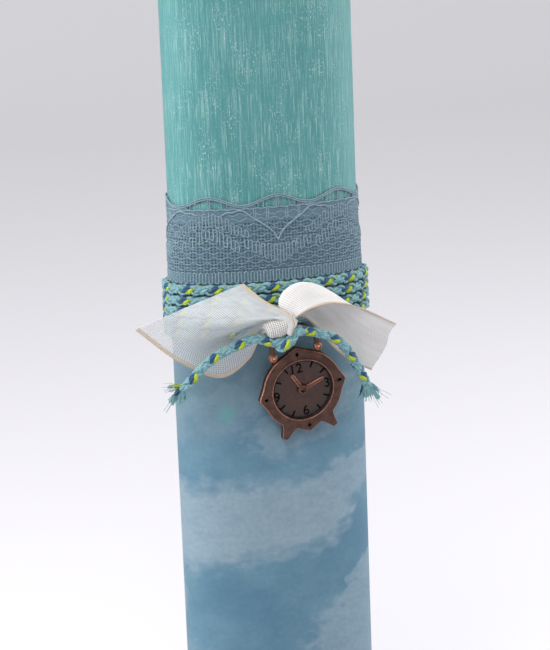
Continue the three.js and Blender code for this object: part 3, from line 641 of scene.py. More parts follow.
def grid_faces(rows, columns, closed=False, start=0):
    """Quads of a grid of rows x columns points that begin at start. Its columns are joined
    in a ring if closed."""
    faces = []
    for i in range(rows - 1):
        a = start + i * columns
        b = a + columns
        for j in range(columns if closed else columns - 1):
            k = (j + 1) % columns
            faces.append((a + j, a + k, b + k, b + j))
    return faces


def capped_faces(rings, sides, start=0):
    """Faces of a closed tube of rings, flat at both ends."""
    last = start + (rings - 1) * sides
    caps = [tuple(start + j for j in reversed(range(sides))), tuple(last + j for j in range(sides))]
    return grid_faces(rings, sides, closed=True, start=start) + caps


def turned_over(faces):
    return [tuple(reversed(face)) for face in faces]


def set_levels(obj, name, values):
    """Gives each point a number that the material reads by name."""
    layer = obj.data.attributes.new(name, "FLOAT", "POINT")
    layer.data.foreach_set("value", np.asarray(values, np.float32))


def shell(name, outer, inner, materials, uvs, is_open=None, column_slots=None):
    """A sheet between two grids of points, walled at its edges and round its open cells."""
    rows, columns, _ = outer.shape
    count = rows * columns
    solid = np.ones((rows + 1, columns + 1), bool)
    solid[0, :] = solid[-1, :] = solid[:, 0] = solid[:, -1] = False
    if is_open is not None:
        solid[1:-1, 1:-1] &= ~is_open
    faces = []
    slots = []
    for i in range(rows - 1):
        for j in range(columns - 1):
            if not solid[i + 1, j + 1]:
                continue
            a = i * columns + j
            b = a + 1
            c = b + columns
            d = a + columns
            made = [(a, b, c, d), (d + count, c + count, b + count, a + count)]
            sides = ((i, j + 1, b, a), (i + 2, j + 1, d, c), (i + 1, j, a, d), (i + 1, j + 2, c, b))
            for row, column, p, q in sides:
                if not solid[row, column]:
                    made.append((p, q, q + count, p + count))
            faces += made
            slots += [column_slots[j] if column_slots else 0] * len(made)
    points = np.concatenate([outer.reshape(-1, 3), inner.reshape(-1, 3)])
    flat = np.concatenate([uvs.reshape(-1, 2)] * 2)
    used = np.unique(np.array(faces).ravel())
    index = np.full(len(points), -1)
    index[used] = np.arange(len(used))
    faces = index[np.array(faces)].tolist()
    return new_mesh(name, points[used], faces, materials, flat[used], slots)


def smooth_line(points, count):
    """Evenly spaced points on a Catmull-Rom curve through the given ones."""
    points = np.asarray(points, float)
    padded = np.concatenate([[2 * points[0] - points[1]], points, [2 * points[-1] - points[-2]]])
    share = np.linspace(0, 1, 24, endpoint=False)[:, None]
    pieces = []
    for a, b, c, d in zip(padded, padded[1:], padded[2:], padded[3:]):
        bend = (2 * a - 5 * b + 4 * c - d) * share ** 2 + (3 * b - a - 3 * c + d) * share ** 3
        pieces.append(b + 0.5 * ((c - a) * share + bend))
    return evenly(np.concatenate(pieces + [points[-1:]]), count)


def evenly(points, count):
    lengths = lengths_along(points)
    wanted = np.linspace(0, lengths[-1], count)
    return np.stack([np.interp(wanted, lengths, points[:, k]) for k in range(3)], axis=-1)


def line_length(points):
    return float(lengths_along(points)[-1])


def directions(points):
    along = np.gradient(points, axis=0)
    return along / np.linalg.norm(along, axis=1, keepdims=True)


def side_frames(points):
    """Two directions across a line at each point, which turn as little as they can."""
    along = directions(points)
    start = np.cross(along[0], (0, 0, 1) if abs(along[0][2]) < 0.9 else (1, 0, 0))
    first = [start / np.linalg.norm(start)]
    for direction in along[1:]:
        side = first[-1] - direction * np.dot(first[-1], direction)
        first.append(side / np.linalg.norm(side))
    first = np.array(first)
    return first, np.cross(along, first)


def tube_grid(centres, first, second, width, thickness, sides):
    """Rings of points round a line, width along first and thickness along second."""
    turn = np.linspace(0, 2 * math.pi, sides, endpoint=False)
    return (centres[:, None] + first[:, None] * np.cos(turn)[None, :, None] * width
            + second[:, None] * np.sin(turn)[None, :, None] * thickness)


class Tubes:
    """Closed tubes that are joined in one mesh. Their coordinates run round and along."""

    def __init__(self):
        self.points, self.faces, self.uvs, self.slots = [], [], [], []

    def add(self, grid, along, slot=0, turned=False):
        """turned says that the rings run round the tube the other way."""
        rings, sides, _ = grid.shape
        faces = capped_faces(rings, sides, start=sum(len(made) for made in self.points))
        faces = turned_over(faces) if turned else faces
        around = np.linspace(0, 1, sides, endpoint=False)
        self.points.append(grid.reshape(-1, 3))
        self.faces += faces
        self.uvs.append(np.stack(np.meshgrid(around, along), axis=-1).reshape(-1, 2))
        self.slots += [slot] * len(faces)

    def mesh(self, name, materials):
        return new_mesh(name, np.concatenate(self.points), self.faces, materials,
                        np.concatenate(self.uvs), self.slots)


def braid(name, line, mark=0.0, facing=0.0, blue_side=-1, frames=None, pressed=None):
    """A round braid of four doubled yarns along a line: two wind each way, each passing
    over one and under one. One of them is a blue yarn beside a lime one, and comes over
    at the distance mark from the start, on the side facing. frames gives two directions
    across the line, and pressed the braid's thickness along each, by shares of its length."""
    length = line_length(line)
    count = max(int(length / BRAID_PITCH * STEPS_PER_PITCH), 8)
    centres = evenly(line, count)
    first, second = frames(centres) if frames else side_frames(centres)
    if pressed is not None:
        places, firsts, seconds = pressed
        share = np.linspace(0, 1, count)
        first = first * np.interp(share, places, firsts)[:, None]
        second = second * np.interp(share, places, seconds)[:, None]
    along = np.linspace(0, length, count)
    theta = 2 * math.pi * (along - mark) / BRAID_PITCH
    tubes = Tubes()
    tubes.add(tube_grid(centres, first, second, CORE_RADIUS, CORE_RADIUS, 10), along)
    for way in (1, -1):
        over = -way * np.cos(2 * theta)
        radius = YARN_MIDDLE + YARN_SWING * over
        swell = 1 + YARN_SWELL * over
        for half_turn in (0, math.pi):
            angle = way * (theta + way * YARN_LINGER * np.sin(2 * theta)) + half_turn + facing
            outward = first * np.cos(angle)[:, None] + second * np.sin(angle)[:, None]
            middle = centres + outward * radius[:, None]
            path = directions(middle)
            across = np.cross(path, outward)
            across /= np.linalg.norm(across, axis=1, keepdims=True)
            out = np.cross(across, path)
            for side in (-1, 1):
                yarn = middle + across * (side * YARN_SHIFT * swell)[:, None]
                marked = way == -1 and half_turn == 0
                kind = (1 if side == blue_side else 2) if marked else 0
                width = YARN_WIDTH * (1.2 if kind == 1 else 1)
                grid = tube_grid(yarn, across * swell[:, None], out, width, YARN_THICKNESS, 8)
                tubes.add(grid, along, kind, turned=True)
    return tubes.mesh(name, CORD_MATERIALS)


def level_frames(points):
    """Two directions across a line: level, and upright."""
    along = directions(points)
    level = np.cross(along, (0, 0, 1))
    level /= np.linalg.norm(level, axis=1, keepdims=True)
    return level, np.cross(along, level)


def threads(name, lines, radius, material):
    """Fine threads as one curve of several lines."""
    curve = bpy.data.curves.new(name, "CURVE")
    curve.dimensions = "3D"
    curve.bevel_depth = radius
    curve.bevel_resolution = 1
    curve.use_fill_caps = True
    for line in lines:
        spline = curve.splines.new("POLY")
        spline.points.add(len(line) - 1)
        flat = np.concatenate([np.asarray(line), np.ones((len(line), 1))], axis=1)
        spline.points.foreach_set("co", flat.ravel())
        spline.use_smooth = True
    curve.materials.append(material)
    return new_object(name, curve)


def belong(obj, body, slot, *nodes):
    """Says what a piece rides on and which solids it stands for. Its slot is not used."""
    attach(obj, body)
    if nodes:
        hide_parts(*nodes)
    return obj


def run_on(obj, length):
    """Lets the coordinates of faces that cross the back run on past half the way round."""
    spots = obj.data.uv_layers[0].data
    for face in obj.data.polygons:
        across = [spots[k].uv[0] for k in face.loop_indices]
        if max(across) - min(across) > length / 2:
            for k in face.loop_indices:
                if spots[k].uv[0] < 0:
                    spots[k].uv[0] += length


def make_wax():
    """The pillar: level rings of the oval, drawn in at the rounded rims and closed flat."""
    ruler = Ruler(0)
    columns = 240
    distance = np.linspace(-ruler.round / 2, ruler.round / 2, columns, endpoint=False)
    rims = [(RIM_ROUND * (1 - math.sin(t)), RIM_ROUND * (1 - math.cos(t)))
            for t in np.linspace(0, math.pi / 2, 6)]
    levels = rims + [(0, h) for h in np.linspace(RIM_ROUND, CANDLE_HEIGHT - RIM_ROUND, 22)[1:-1]]
    levels += [(inset, CANDLE_HEIGHT - h) for inset, h in reversed(rims)]
    rings = [on_candle(ruler, distance, h, -inset) for inset, h in levels]
    drawn_in = [np.array((share, share, 1)) for share in (0.12, 0.4, 0.75)]
    base = [rings[0] * share for share in drawn_in]
    top = [rings[-1] * share for share in reversed(drawn_in)]
    uvs = [ring[:, :2] for ring in base]
    uvs += [np.stack([distance, np.full(columns, h)], axis=-1) for _, h in levels]
    uvs += [ring[:, :2] + (0, CANDLE_HEIGHT) for ring in top]
    rings = base + rings + top
    wax = new_mesh("wax_pillar", np.concatenate(rings), capped_faces(len(rings), columns),
                   [wax_material()], np.concatenate(uvs))
    run_on(wax, ruler.round)
    return belong(wax, "root", "wax", "wax_body")


def make_wick():
    """Three twisted plies that come out of the wax and lean over."""
    rise = np.linspace(0, 1, 40)
    height = CANDLE_HEIGHT - WICK_SUNK + (WICK_STUB + WICK_SUNK) * rise
    line = np.stack([WICK_LEAN * rise ** 2, 0 * rise, height], axis=-1)
    first, second = side_frames(line)
    tubes = Tubes()
    for ply in range(3):
        turn = (rise * 5 * math.pi + ply * 2 * math.pi / 3)[:, None]
        centre = line + PLY_CENTRE * (first * np.cos(turn) + second * np.sin(turn))
        tubes.add(tube_grid(centre, first, second, PLY_RADIUS, PLY_RADIUS, 10), rise)
    wick = tubes.mesh("wick_stub", [wick_material()])
    return belong(wick, "root", "wick_cotton", "wick")


def make_wrap():
    ruler = Ruler(WRAP_OUTER)
    distance = np.linspace(-ruler.reach, ruler.reach, 260)
    height = np.linspace(WRAP_BOTTOM, WRAP_TOP, 60)
    d, h = np.meshgrid(distance, height)
    outer = on_candle(ruler, d, h, WRAP_OUTER)
    inner = on_candle(ruler, d, h, WRAP_OUTER - WRAP_THICKNESS)
    wrap = shell("cloud_wrap", outer, inner, [wrap_material()], np.stack([d, h], axis=-1))
    belong(wrap, "root", "printed_wrap", "print_wrap")


def lace_rim(distance):
    return LACE_VALLEY + LACE_RISE * np.cos(math.pi * distance / LACE_PITCH) ** 2


def stitch_run(run, side, middle):
    """A square wave of thread between a run's two edges."""
    start, end, low, high = run
    points = []
    strokes = max(int((end - start) / STITCH), 2)
    for k in range(strokes + 1):
        share = k / strokes
        s = start + (end - start) * share
        bottom = low[0] + (low[1] - low[0]) * share
        top = high[0] + (high[1] - high[0]) * share
        ends = (bottom, top) if k % 2 == 0 else (top, bottom)
        points += [(middle + side * s, ends[0]), (middle + side * s, ends[1])]
    return points


def lace_offset(height, offset):
    """The lace leans in by the wrap's thickness above the wrap's upper edge."""
    return offset - LACE_LEAN * np.clip((height - WRAP_TOP) / LACE_LEAN_HEIGHT, 0, 1)


def lace_lines(ruler, lines, offset):
    """Lines drawn in millimetres along and above the lace, laid on the candle."""
    laid = []
    for line in lines:
        drawn = np.asarray(line, float) * MM
        drawn = drawn[np.abs(drawn[:, 0]) < ruler.reach - LACE_STEP]
        if len(drawn) < 2:
            continue
        lengths = lengths_along(drawn)
        wanted = np.linspace(0, lengths[-1], max(int(lengths[-1] / LACE_STEP), 2))
        s = np.interp(wanted, lengths, drawn[:, 0])
        h = np.interp(wanted, lengths, drawn[:, 1])
        level = LACE_BOTTOM + h
        laid.append(on_candle(ruler, s, level, lace_offset(level, offset)))
    return laid


def lace_motif():
    """The V of thick thread under every second scallop, and the stepped leaves beside it."""
    thick, runs = [], []
    for repeat in range(-2, 3):
        middle = repeat * 2 * LACE_PITCH / MM
        for side in (-1, 1):
            thick += [[(middle + side * s, h) for s, h in line] for line in MOTIF_LINES]
            runs += [stitch_run(run, side, middle) for run in MOTIF_RUNS]
            for s in (2.3, 5.6):
                runs.append([(middle + side * s, 18.8), (middle + side * s, 15.9),
                             (middle + side * (s + 0.5), 15.9), (middle + side * (s + 0.5), 18.8)])
    return thick, runs


def lace_bars():
    """Pairs of thin threads across each scallop's window."""
    bars = []
    for scallop in range(-4, 5):
        middle = scallop * LACE_PITCH / MM
        for s in (-5.0, -3.6, 0.0, 0.5, 3.4, 4.8):
            top = float(lace_rim(np.array((s + middle) * MM))) / MM
            lean = 0.25 if s < 0 else -0.25
            bars.append([(middle + s, LACE_BAND / MM - 0.1), (middle + s + lean, top)])
    return bars


def lace_heights(distance, band_levels, rim_levels):
    """Heights of the ground's rows of points: even in the band, and fitted to the rim."""
    band = np.linspace(0, LACE_BAND, band_levels)[:, None] + 0 * distance
    share = np.linspace(0, 1, rim_levels + 1)[1:, None]
    return np.concatenate([band, LACE_BAND + share * (lace_rim(distance) - LACE_BAND)])


def lace_cells(distance, height, rim_levels):
    """Which cells of the ground are open: small meshes, and the windows under the rim."""
    levels, columns = height.shape
    cells = np.zeros((levels - 1, columns - 1), bool)
    for i in range(levels - 1):
        for j in range(2, columns - 3):
            s = (distance[j] + distance[j + 1]) / 2
            h = (height[i, j] + height[i + 1, j + 1]) / 2
            if i >= levels - rim_levels - 1:
                rim = lace_rim(s)
                cells[i, j] = h < rim - 0.7 * MM and rim - LACE_BAND > 1.7 * MM
            elif HEM_HEIGHT < h < 15.5 * MM:
                cells[i, j] = i % 2 == 0 and j % 2 == 0
    return cells


def lace_edges(reach):
    """Lines along the whole lace: its rim, its band's upper edge, the net's waves and the
    square stitches of its hem."""
    s = np.arange(-reach, reach, LACE_STEP / MM)
    rim = [[(x, lace_rim(x * MM) / MM - drop) for x in s] for drop in (0.15, 0.62)]
    rim.append([(x, LACE_BAND / MM - 0.1 + 0.12 * math.sin(x * 2.1)) for x in s])
    net = []
    for row in range(11):
        middle = 3.9 + row * 1.36
        phase = math.pi if row % 2 else 0
        net.append([(x, middle + 0.34 * math.sin(2 * math.pi * x / 3.52 + phase))
                    for x in np.arange(-reach, reach, 0.29)])
    hem = []
    for k, s in enumerate(np.arange(-reach, reach, STITCH)):
        ends = (0.15, 2.9) if k % 2 == 0 else (2.9, 0.15)
        hem += [(s, ends[0]), (s, ends[1])]
    return rim, net, [hem]


def make_lace():
    """A woven ground with threads laid on it."""
    ruler = Ruler(LACE_GROUND)
    reach = ruler.reach
    distance = np.linspace(-reach, reach, int(2 * reach / LACE_CELL) + 1)
    height = lace_heights(distance, 52, 6)
    d = np.broadcast_to(distance, height.shape)
    out = LACE_GROUND + LACE_GROUND_THICKNESS
    level = LACE_BOTTOM + height
    outer = on_candle(ruler, d, level, lace_offset(level, out))
    inner = on_candle(ruler, d, level, lace_offset(level, LACE_GROUND))
    ground = shell("lace_ground", outer, inner, [LACE_GROUND_MATERIAL],
                   np.stack([d, height], axis=-1), is_open=lace_cells(distance, height, 6))
    belong(ground, "root", "lace", "lace_band")
    thick, runs = lace_motif()
    rim, net, hem = lace_edges(reach / MM)
    for name, lines, offset, radius in (
            ("rim_cord", rim, out, 0.19 * MM),
            ("bars", lace_bars(), out, 0.13 * MM),
            ("vine", thick, out + 0.1 * MM, 0.24 * MM),
            ("leaves", runs, out, 0.16 * MM),
            ("net_rows", net, out - 0.03 * MM, 0.12 * MM),
            ("hem", hem, out, 0.17 * MM)):
        laid = lace_lines(ruler, lines, offset)
        piece = threads(f"lace_{name}", laid, radius, LACE_THREAD_MATERIAL)
        belong(piece, "root", "lace")


def winding_line():
    """Rows that are level at the front and the sides and go down at the back. The last
    bends forward at the tie. Also gives the share of it that lies on the candle."""
    last = FRONT_ANGLE + CORD_TURNS * 2 * math.pi - 8 * DEGREE
    angles = np.linspace(DESCENT_END, last, 900)
    turned = (angles - DESCENT_START) / (2 * math.pi)
    share = np.clip(np.mod(turned, 1) * 2 * math.pi / (DESCENT_END - DESCENT_START), 0, 1)
    row = np.floor(turned) + share * share * (3 - 2 * share) - 1
    x, y = oval(angles, CORD_CENTRE)
    points = np.stack([x, y, WINDING_TOP - row * (WINDING_TOP - TIE_LEVEL) / CORD_TURNS], axis=-1)
    front = -(HALF_DEPTH + CORD_CENTRE)
    bend = []
    for angle in np.linspace(0, math.pi / 2, 7):
        bend.append((TIE_X - TIE_BEND * (1 - math.sin(angle)),
                     front - TIE_BEND * (1 - math.cos(angle)), TIE_LEVEL))
    bend.append((TIE_X, WRAP_FACE - TIE_END, TIE_LEVEL))
    line = np.concatenate([points, bend])
    return line, line_length(points) / line_length(line)


def bow_line(points, count):
    """Evenly spaced points on a smooth line through points of the bow."""
    return smooth_line(np.asarray(points) * MM + np.array(BOW), count)


def frayed_end(name, line, seed):
    """The yarns of a cord's cut end: short curled stubs with loose fibres between them."""
    rng = random.Random(seed)
    end = Vector(line[-1])
    along = Vector(line[-1] - line[-6]).normalized()
    side = along.orthogonal().normalized()
    other = along.cross(side)
    stubs = [[], [], []]
    fibres = [[], [], []]
    for yarn in range(8):
        angle = yarn / 8 * 2 * math.pi
        out = side * math.cos(angle) + other * math.sin(angle)
        heading = (along * 0.8 + out * rng.uniform(0.4, 1.0) + Vector((0, 0, -0.4))).normalized()
        kind = 1 if yarn == 2 else 2 if yarn == 3 else 0
        curl = Vector([rng.gauss(0, 0.5) for _ in range(3)])
        reach = rng.uniform(1.8, 3.0) * MM * (0.6 if kind else 1)
        for group, count, length, spread in ((stubs, 9, reach, 0.12),
                                             (fibres, 5, reach * 1.6, 0.25)):
            for _ in range(count):
                start = end - along * 1.0 * MM + out * 0.55 * MM
                start += Vector([rng.gauss(0, 0.24 * MM) for _ in range(3)])
                aim = (heading + Vector([rng.gauss(0, spread) for _ in range(3)])).normalized()
                reaches = aim * (length + 1.0 * MM)
                group[kind].append([tuple(start + reaches * t + curl * length * t * t * 0.5)
                                    for t in np.linspace(0, 1, 8)])
    pieces = []
    for kind, word in enumerate(("turquoise", "blue", "lime")):
        for group, radius, what in ((stubs, 0.13 * MM, "stubs"), (fibres, 0.045 * MM, "fibres")):
            tuft = threads(f"{name}_{what}_{word}", group[kind], radius, CORD_MATERIALS[kind])
            pieces.append(belong(tuft, "root", "cord"))
    return pieces


def make_cords():
    """The winding, the knot, the stretch through the bail and the two frayed tails."""
    line, wound = winding_line()
    pressed = ([0, wound, 1], [CORD_PRESSED, CORD_PRESSED, 1], [CORD_FULL, CORD_FULL, 1])
    winding = braid("cord_turns", line, mark=0.9 * MM, frames=level_frames, pressed=pressed)
    belong(winding, "root", "cord", "cord_winding")
    full = [1, KNOT_FULL, KNOT_FULL, 1]
    knot = braid("cord_tie", bow_line(KNOT, 120), mark=2.4 * MM, facing=math.pi,
                 pressed=([0, 0.2, 0.8, 1], full, full))
    belong(knot, "root", "cord", "cord_knot")
    strand_line = np.array([(TIE_X, WRAP_FACE - TIE_END - FIT / 2, TIE_LEVEL),
                            (TIE_X, WRAP_FACE - STRAND_END, TIE_LEVEL)])
    strand = braid("charm_strand", strand_line)
    belong(strand, "charm_tie", "cord", "bail_strand")
    for side, points, facing, blue_side, mark, loose, seed in (
            ("left", TAIL_LEFT, math.pi, 1, 0.6 * MM, 7, 3),
            ("right", TAIL_RIGHT, 0, -1, 1.4 * MM, 2, 8)):
        line = bow_line(points, 90)[:-loose]
        tail = braid(f"cord_end_{side}", line, mark=mark, facing=facing, blue_side=blue_side)
        belong(tail, "root", "cord", f"cord_tail_{side}")
        tuft = frayed_end(f"frayed_{side}", line, seed)


def ribbon_grid(lines, columns, rows):
    """Points of a ribbon tail, columns along it and rows across it."""
    curves = [smooth_line(np.asarray(line) * MM, columns) for line in lines]
    grid = np.stack([smooth_line(np.stack([c[k] for c in curves]), rows) for k in range(columns)])
    return grid + np.array(BOW)


def grid_normals(grid):
    along = np.gradient(grid, axis=0)
    across = np.gradient(grid, axis=1)
    normal = np.cross(along, across)
    return normal / np.linalg.norm(normal, axis=2, keepdims=True)


def ribbon_sheet(name, grid, node, gauze, pulled):
    """A gauze sheet with thicker selvedges along both long edges. Its weave is pulled open
    round one spot, given by shares along and across it."""
    columns, rows, _ = grid.shape
    across = np.array([lengths_along(row) for row in grid])
    along = lengths_along(grid.mean(axis=1))
    inset = np.minimum(across, across[:, -1:] - across)
    share = np.clip(1 - inset / SELVEDGE_WIDTH, 0, 1) ** 0.5
    thickness = GAUZE_THICKNESS + (SELVEDGE_THICKNESS - GAUZE_THICKNESS) * share
    normal = grid_normals(grid) * thickness[..., None] / 2
    uvs = np.stack([np.broadcast_to(np.linspace(0, RIBBON_WIDTH, rows), (columns, rows)),
                    np.broadcast_to(along[:, None], (columns, rows))], axis=-1)
    edge = max(round(SELVEDGE_WIDTH / (RIBBON_WIDTH / (rows - 1))), 1)
    column_slots = [1] * edge + [0] * (rows - 1 - 2 * edge) + [1] * edge
    sheet = shell(name, grid - normal, grid + normal, [gauze, SELVEDGE], uvs,
                  column_slots=column_slots)
    set_open(sheet, uvs, along[-1], pulled)
    belong(sheet, "root", "ribbon", node)
    cells = np.cross(np.diff(grid, axis=0)[:, :-1], np.diff(grid, axis=1)[:-1])
    return sheet, float(np.linalg.norm(cells, axis=2).sum()), float(along[-1])


def set_open(sheet, uvs, length, pulled):
    """How far the weave is pulled open at each point, from 0 to 1."""
    far = ((uvs[..., 1] / length - pulled[0]) / 0.13) ** 2
    far += ((uvs[..., 0] / RIBBON_WIDTH - pulled[1]) / 0.09) ** 2
    levels = pulled[2] * np.exp(-far).ravel()
    set_levels(sheet, "open", np.concatenate([levels, levels]))


def make_ribbon_tails():
    for side, lines, gauze, pulled in (("left", RIBBON_LEFT, GAUZE_LEFT, (0.3, 0.62, 0.7)),
                                       ("right", RIBBON_RIGHT, GAUZE_RIGHT, (0.3, 0.8, 0.3))):
        grid = ribbon_grid(lines, 110, 61)
        sheet, area, length = ribbon_sheet(f"ribbon_end_{side}", grid, f"ribbon_tail_{side}",
                                           gauze, pulled)


def make_ribbon_knot():
    """The ribbon's middle, drawn tight round the bow: a bean with folds that run over it."""
    columns = 72
    stations = smooth_line([(x, z, high) for x, z, high, _ in BEAN], 48)
    deep = np.interp(stations[:, 0], [x for x, _, _, _ in BEAN], [y for _, _, _, y in BEAN])
    points = []
    for (x, z, high), depth in zip(stations, deep):
        for j in range(columns):
            lon = 2 * math.pi * j / columns
            fold = 1 + 0.04 * math.sin(x * 2.4 + math.sin(lon) * 1.8)
            points.append((x - 0.5 * math.sin(lon), BEAN_FORWARD - depth * math.cos(lon) * fold,
                           z + high * math.sin(lon) * fold))
    points = np.array(points) * MM + np.array(BOW)
    around = np.linspace(0, 15 * MM, columns)
    along = np.linspace(0, 9 * MM, len(stations))
    uvs = np.stack(np.meshgrid(around, along), axis=-1).reshape(-1, 2)
    faces = turned_over(capped_faces(len(stations), columns))
    knot = new_mesh("ribbon_middle", points, faces, [GAUZE_TIGHT], uvs)
    belong(knot, "root", "ribbon", "ribbon_knot")


def charm_outline(angle):
    """Radius of the casting at an angle anticlockwise from twelve."""
    def away(centre):
        return abs(math.atan2(math.sin(angle - centre), math.cos(angle - centre)))
    radius = RING_RADIUS
    for quarter in range(4):
        share = max(1 - away(quarter * math.pi / 2) / LUG_SPREAD, 0)
        radius = max(radius, RING_RADIUS + LUG_REACH * share ** LUG_CURVE)
    for side in (-1, 1):
        share = (FOOT_SPREAD - away(math.pi + side * FOOT_ANGLE)) / (FOOT_SPREAD - FOOT_TIP)
        radius = max(radius, RING_RADIUS + FOOT_REACH * min(max(share, 0), 1) ** FOOT_CURVE)
    return radius


def charm_matrix():
    """From the charm's own frame, its dial facing -Y and twelve up, to the candle's."""
    lowest = TIE_UP + (RING_RADIUS + FOOT_REACH) * math.cos(FOOT_ANGLE)
    lean = math.asin((BAIL_FORWARD - FIT - CHARM_HALF) / lowest)
    hang = Matrix.Translation(BOW + Vector((TIE_X, -BAIL_FORWARD, 0)))
    turn = Matrix.Rotation(-CHARM_TURN, 4, "Y") @ Matrix.Rotation(lean, 4, "X")
    return hang @ turn @ Matrix.Translation((0, 0, -TIE_UP))


def make_charm_body():
    """The ring with its recessed dial, four lugs and two feet, as rings of points."""
    angles = np.linspace(0, 2 * math.pi, CHARM_STEPS, endpoint=False)
    outline = np.array([charm_outline(a) for a in angles])
    room = np.clip((outline - 8.72 * MM) / (1.5 * MM), 0, 1)
    rings = [(np.full(CHARM_STEPS, radius * MM), height, worn) for radius, height, worn in FACE[1:]]
    rings += [(outline - inset * MM * room, height, worn) for inset, height, worn in EDGE]
    points = [(0, -FACE[0][1] * MM, 0)]
    wear_and_highlight = [FACE[0][2]]
    for radius, height, worn in rings:
        points += [(-r * math.sin(a), -height * MM, r * math.cos(a))
                   for r, a in zip(radius, angles)]
        wear_and_highlight += [worn] * CHARM_STEPS
    faces = [(0, 1 + j, 1 + (j + 1) % CHARM_STEPS) for j in range(CHARM_STEPS)]
    faces += turned_over(grid_faces(len(rings), CHARM_STEPS, closed=True, start=1))
    faces.append(tuple(range(len(points) - CHARM_STEPS, len(points))))
    body = new_mesh("clock_body", points, faces, [COPPER])
    set_levels(body, "wear_and_highlight", wear_and_highlight)
    return body


def lathe(name, profile, place):
    """A turned shape about the dial's own direction: profile is radius, height, wear, whose
    values over 1.2 are a painted highlight.
    """
    steps = 40
    points, wear_and_highlight = [], []
    for radius, height, worn in profile:
        for a in np.linspace(0, 2 * math.pi, steps, endpoint=False):
            points.append((place[0] + radius * math.cos(a), place[1] - height,
                           place[2] + radius * math.sin(a)))
        wear_and_highlight += [worn] * steps
    obj = new_mesh(name, points, capped_faces(len(profile), steps), [COPPER])
    set_levels(obj, "wear_and_highlight", wear_and_highlight)
    return obj


def ball_profile():
    """A ball with a shallow dish at its front, painted bright in its middle as a highlight.
    Each of the dish's rings has its share of the dish's radius, its depth in millimetres and
    its wear, which at 1.7 is the painted highlight."""
    stop = math.asin(DISH_RADIUS / BALL_RADIUS)
    brink = BALL_RADIUS * math.cos(stop)
    profile = [(0.03 * MM, -BALL_RADIUS, 0.0)]
    for a in np.linspace(math.pi - 0.2, stop, 22):
        profile.append((BALL_RADIUS * math.sin(a), BALL_RADIUS * math.cos(a), 0.8))
    # The dish's middle, at 1.7, is a painted highlight
    dish = [(0.86, 0.02, 0.2), (0.7, 0.12, 0.5), (0.4, 0.18, 1.7), (0.03, 0.2, 1.7)]
    for share, drop, worn in dish:
        profile.append((DISH_RADIUS * share, brink - drop * MM, worn))
    return profile


def hub_profile():
    return [(radius * MM, DIAL_FLOOR + height * MM, worn) for radius, height, worn in HUB]


def make_hand(name, length, angle):
    """A cast hand with rounded shoulders that narrows to a blunt tip. It is a crowned strip
    of points over a flat base."""
    rows, columns = 26, 13
    points, base, wear_and_highlight = [], [], []
    for t in np.linspace(0, 1, rows):
        half = HAND_HALF * (1 - 0.25 * t)
        if t > 0.9:
            half *= math.sqrt(max(1 - ((t - 0.9) / 0.1) ** 2, 0.08))
        for across in np.linspace(-1, 1, columns):
            crown = math.sqrt(max(1 - abs(across) ** 3, 0))
            height = DIAL_FLOOR - 0.15 * MM + HAND_RISE * crown * (1 - 0.25 * t)
            x = half * across
            spot = (x * math.cos(angle) + length * t * math.sin(angle), -height,
                    length * t * math.cos(angle) - x * math.sin(angle))
            points.append(spot)
            wear_and_highlight.append(0.05 + 0.45 * (0.3 < abs(across) < 0.95) + 0.25 * t)
            if abs(across) == 1:
                base.append((spot[0], -(DIAL_FLOOR - 0.3 * MM), spot[2]))
    top = len(points)
    points += base
    wear_and_highlight += [-0.3] * len(base)
    faces = grid_faces(rows, columns)
    for i in range(rows - 1):
        a = top + 2 * i
        faces.append((i * columns, (i + 1) * columns, a + 2, a))
        faces.append((a + 1, a + 3, (i + 2) * columns - 1, (i + 1) * columns - 1))
        faces.append((a, a + 2, a + 3, a + 1))
    faces.append((top, top + 1, *reversed(range(columns))))
    faces.append((len(points) - 1, len(points) - 2, *range(top - columns, top)))
    hand = new_mesh(name, points, faces, [COPPER])
    set_levels(hand, "wear_and_highlight", wear_and_highlight)
    return hand


def make_bail():
    """The wire loop over the charm, rooted in the ring behind each ball."""
    root = math.sqrt(RING_RADIUS ** 2 - BAIL_ARCH ** 2) - BAIL_RADIUS
    line = [(-BAIL_ARCH, 0, root), (-BAIL_ARCH, 0, BAIL_SHOULDER - BAIL_BEND)]
    for k in range(33):
        angle = math.pi * (1 - k / 32)
        line.append((BAIL_ARCH * math.cos(angle), 0, BAIL_SHOULDER + BAIL_ARCH * math.sin(angle)))
    line = np.array(line + [(BAIL_ARCH, 0, BAIL_SHOULDER - BAIL_BEND), (BAIL_ARCH, 0, root)])
    grid = tube_grid(line, *side_frames(line), BAIL_RADIUS, BAIL_RADIUS, 16)
    points = grid.reshape(-1, 3)
    bail = new_mesh("clock_bail", points, capped_faces(len(line), 16), [COPPER])
    set_levels(bail, "wear_and_highlight", [0.25] * len(points))
    return bail


def drill(body, x, z):
    """Cuts a blind round hole into the casting's face."""
    bpy.ops.mesh.primitive_cylinder_add(vertices=28, radius=HOLE_RADIUS, depth=HOLE_DEPTH * 2,
                                        location=(x, -CHARM_HALF, z),
                                        rotation=(math.pi / 2, 0, 0))
    cutter = bpy.context.object
    cut = body.modifiers.new("hole", "BOOLEAN")
    cut.operation = "DIFFERENCE"
    cut.solver = "EXACT"
    cut.object = cutter
    bpy.context.view_layer.objects.active = body
    bpy.ops.object.modifier_apply(modifier=cut.name)
    bpy.data.objects.remove(cutter, do_unlink=True)


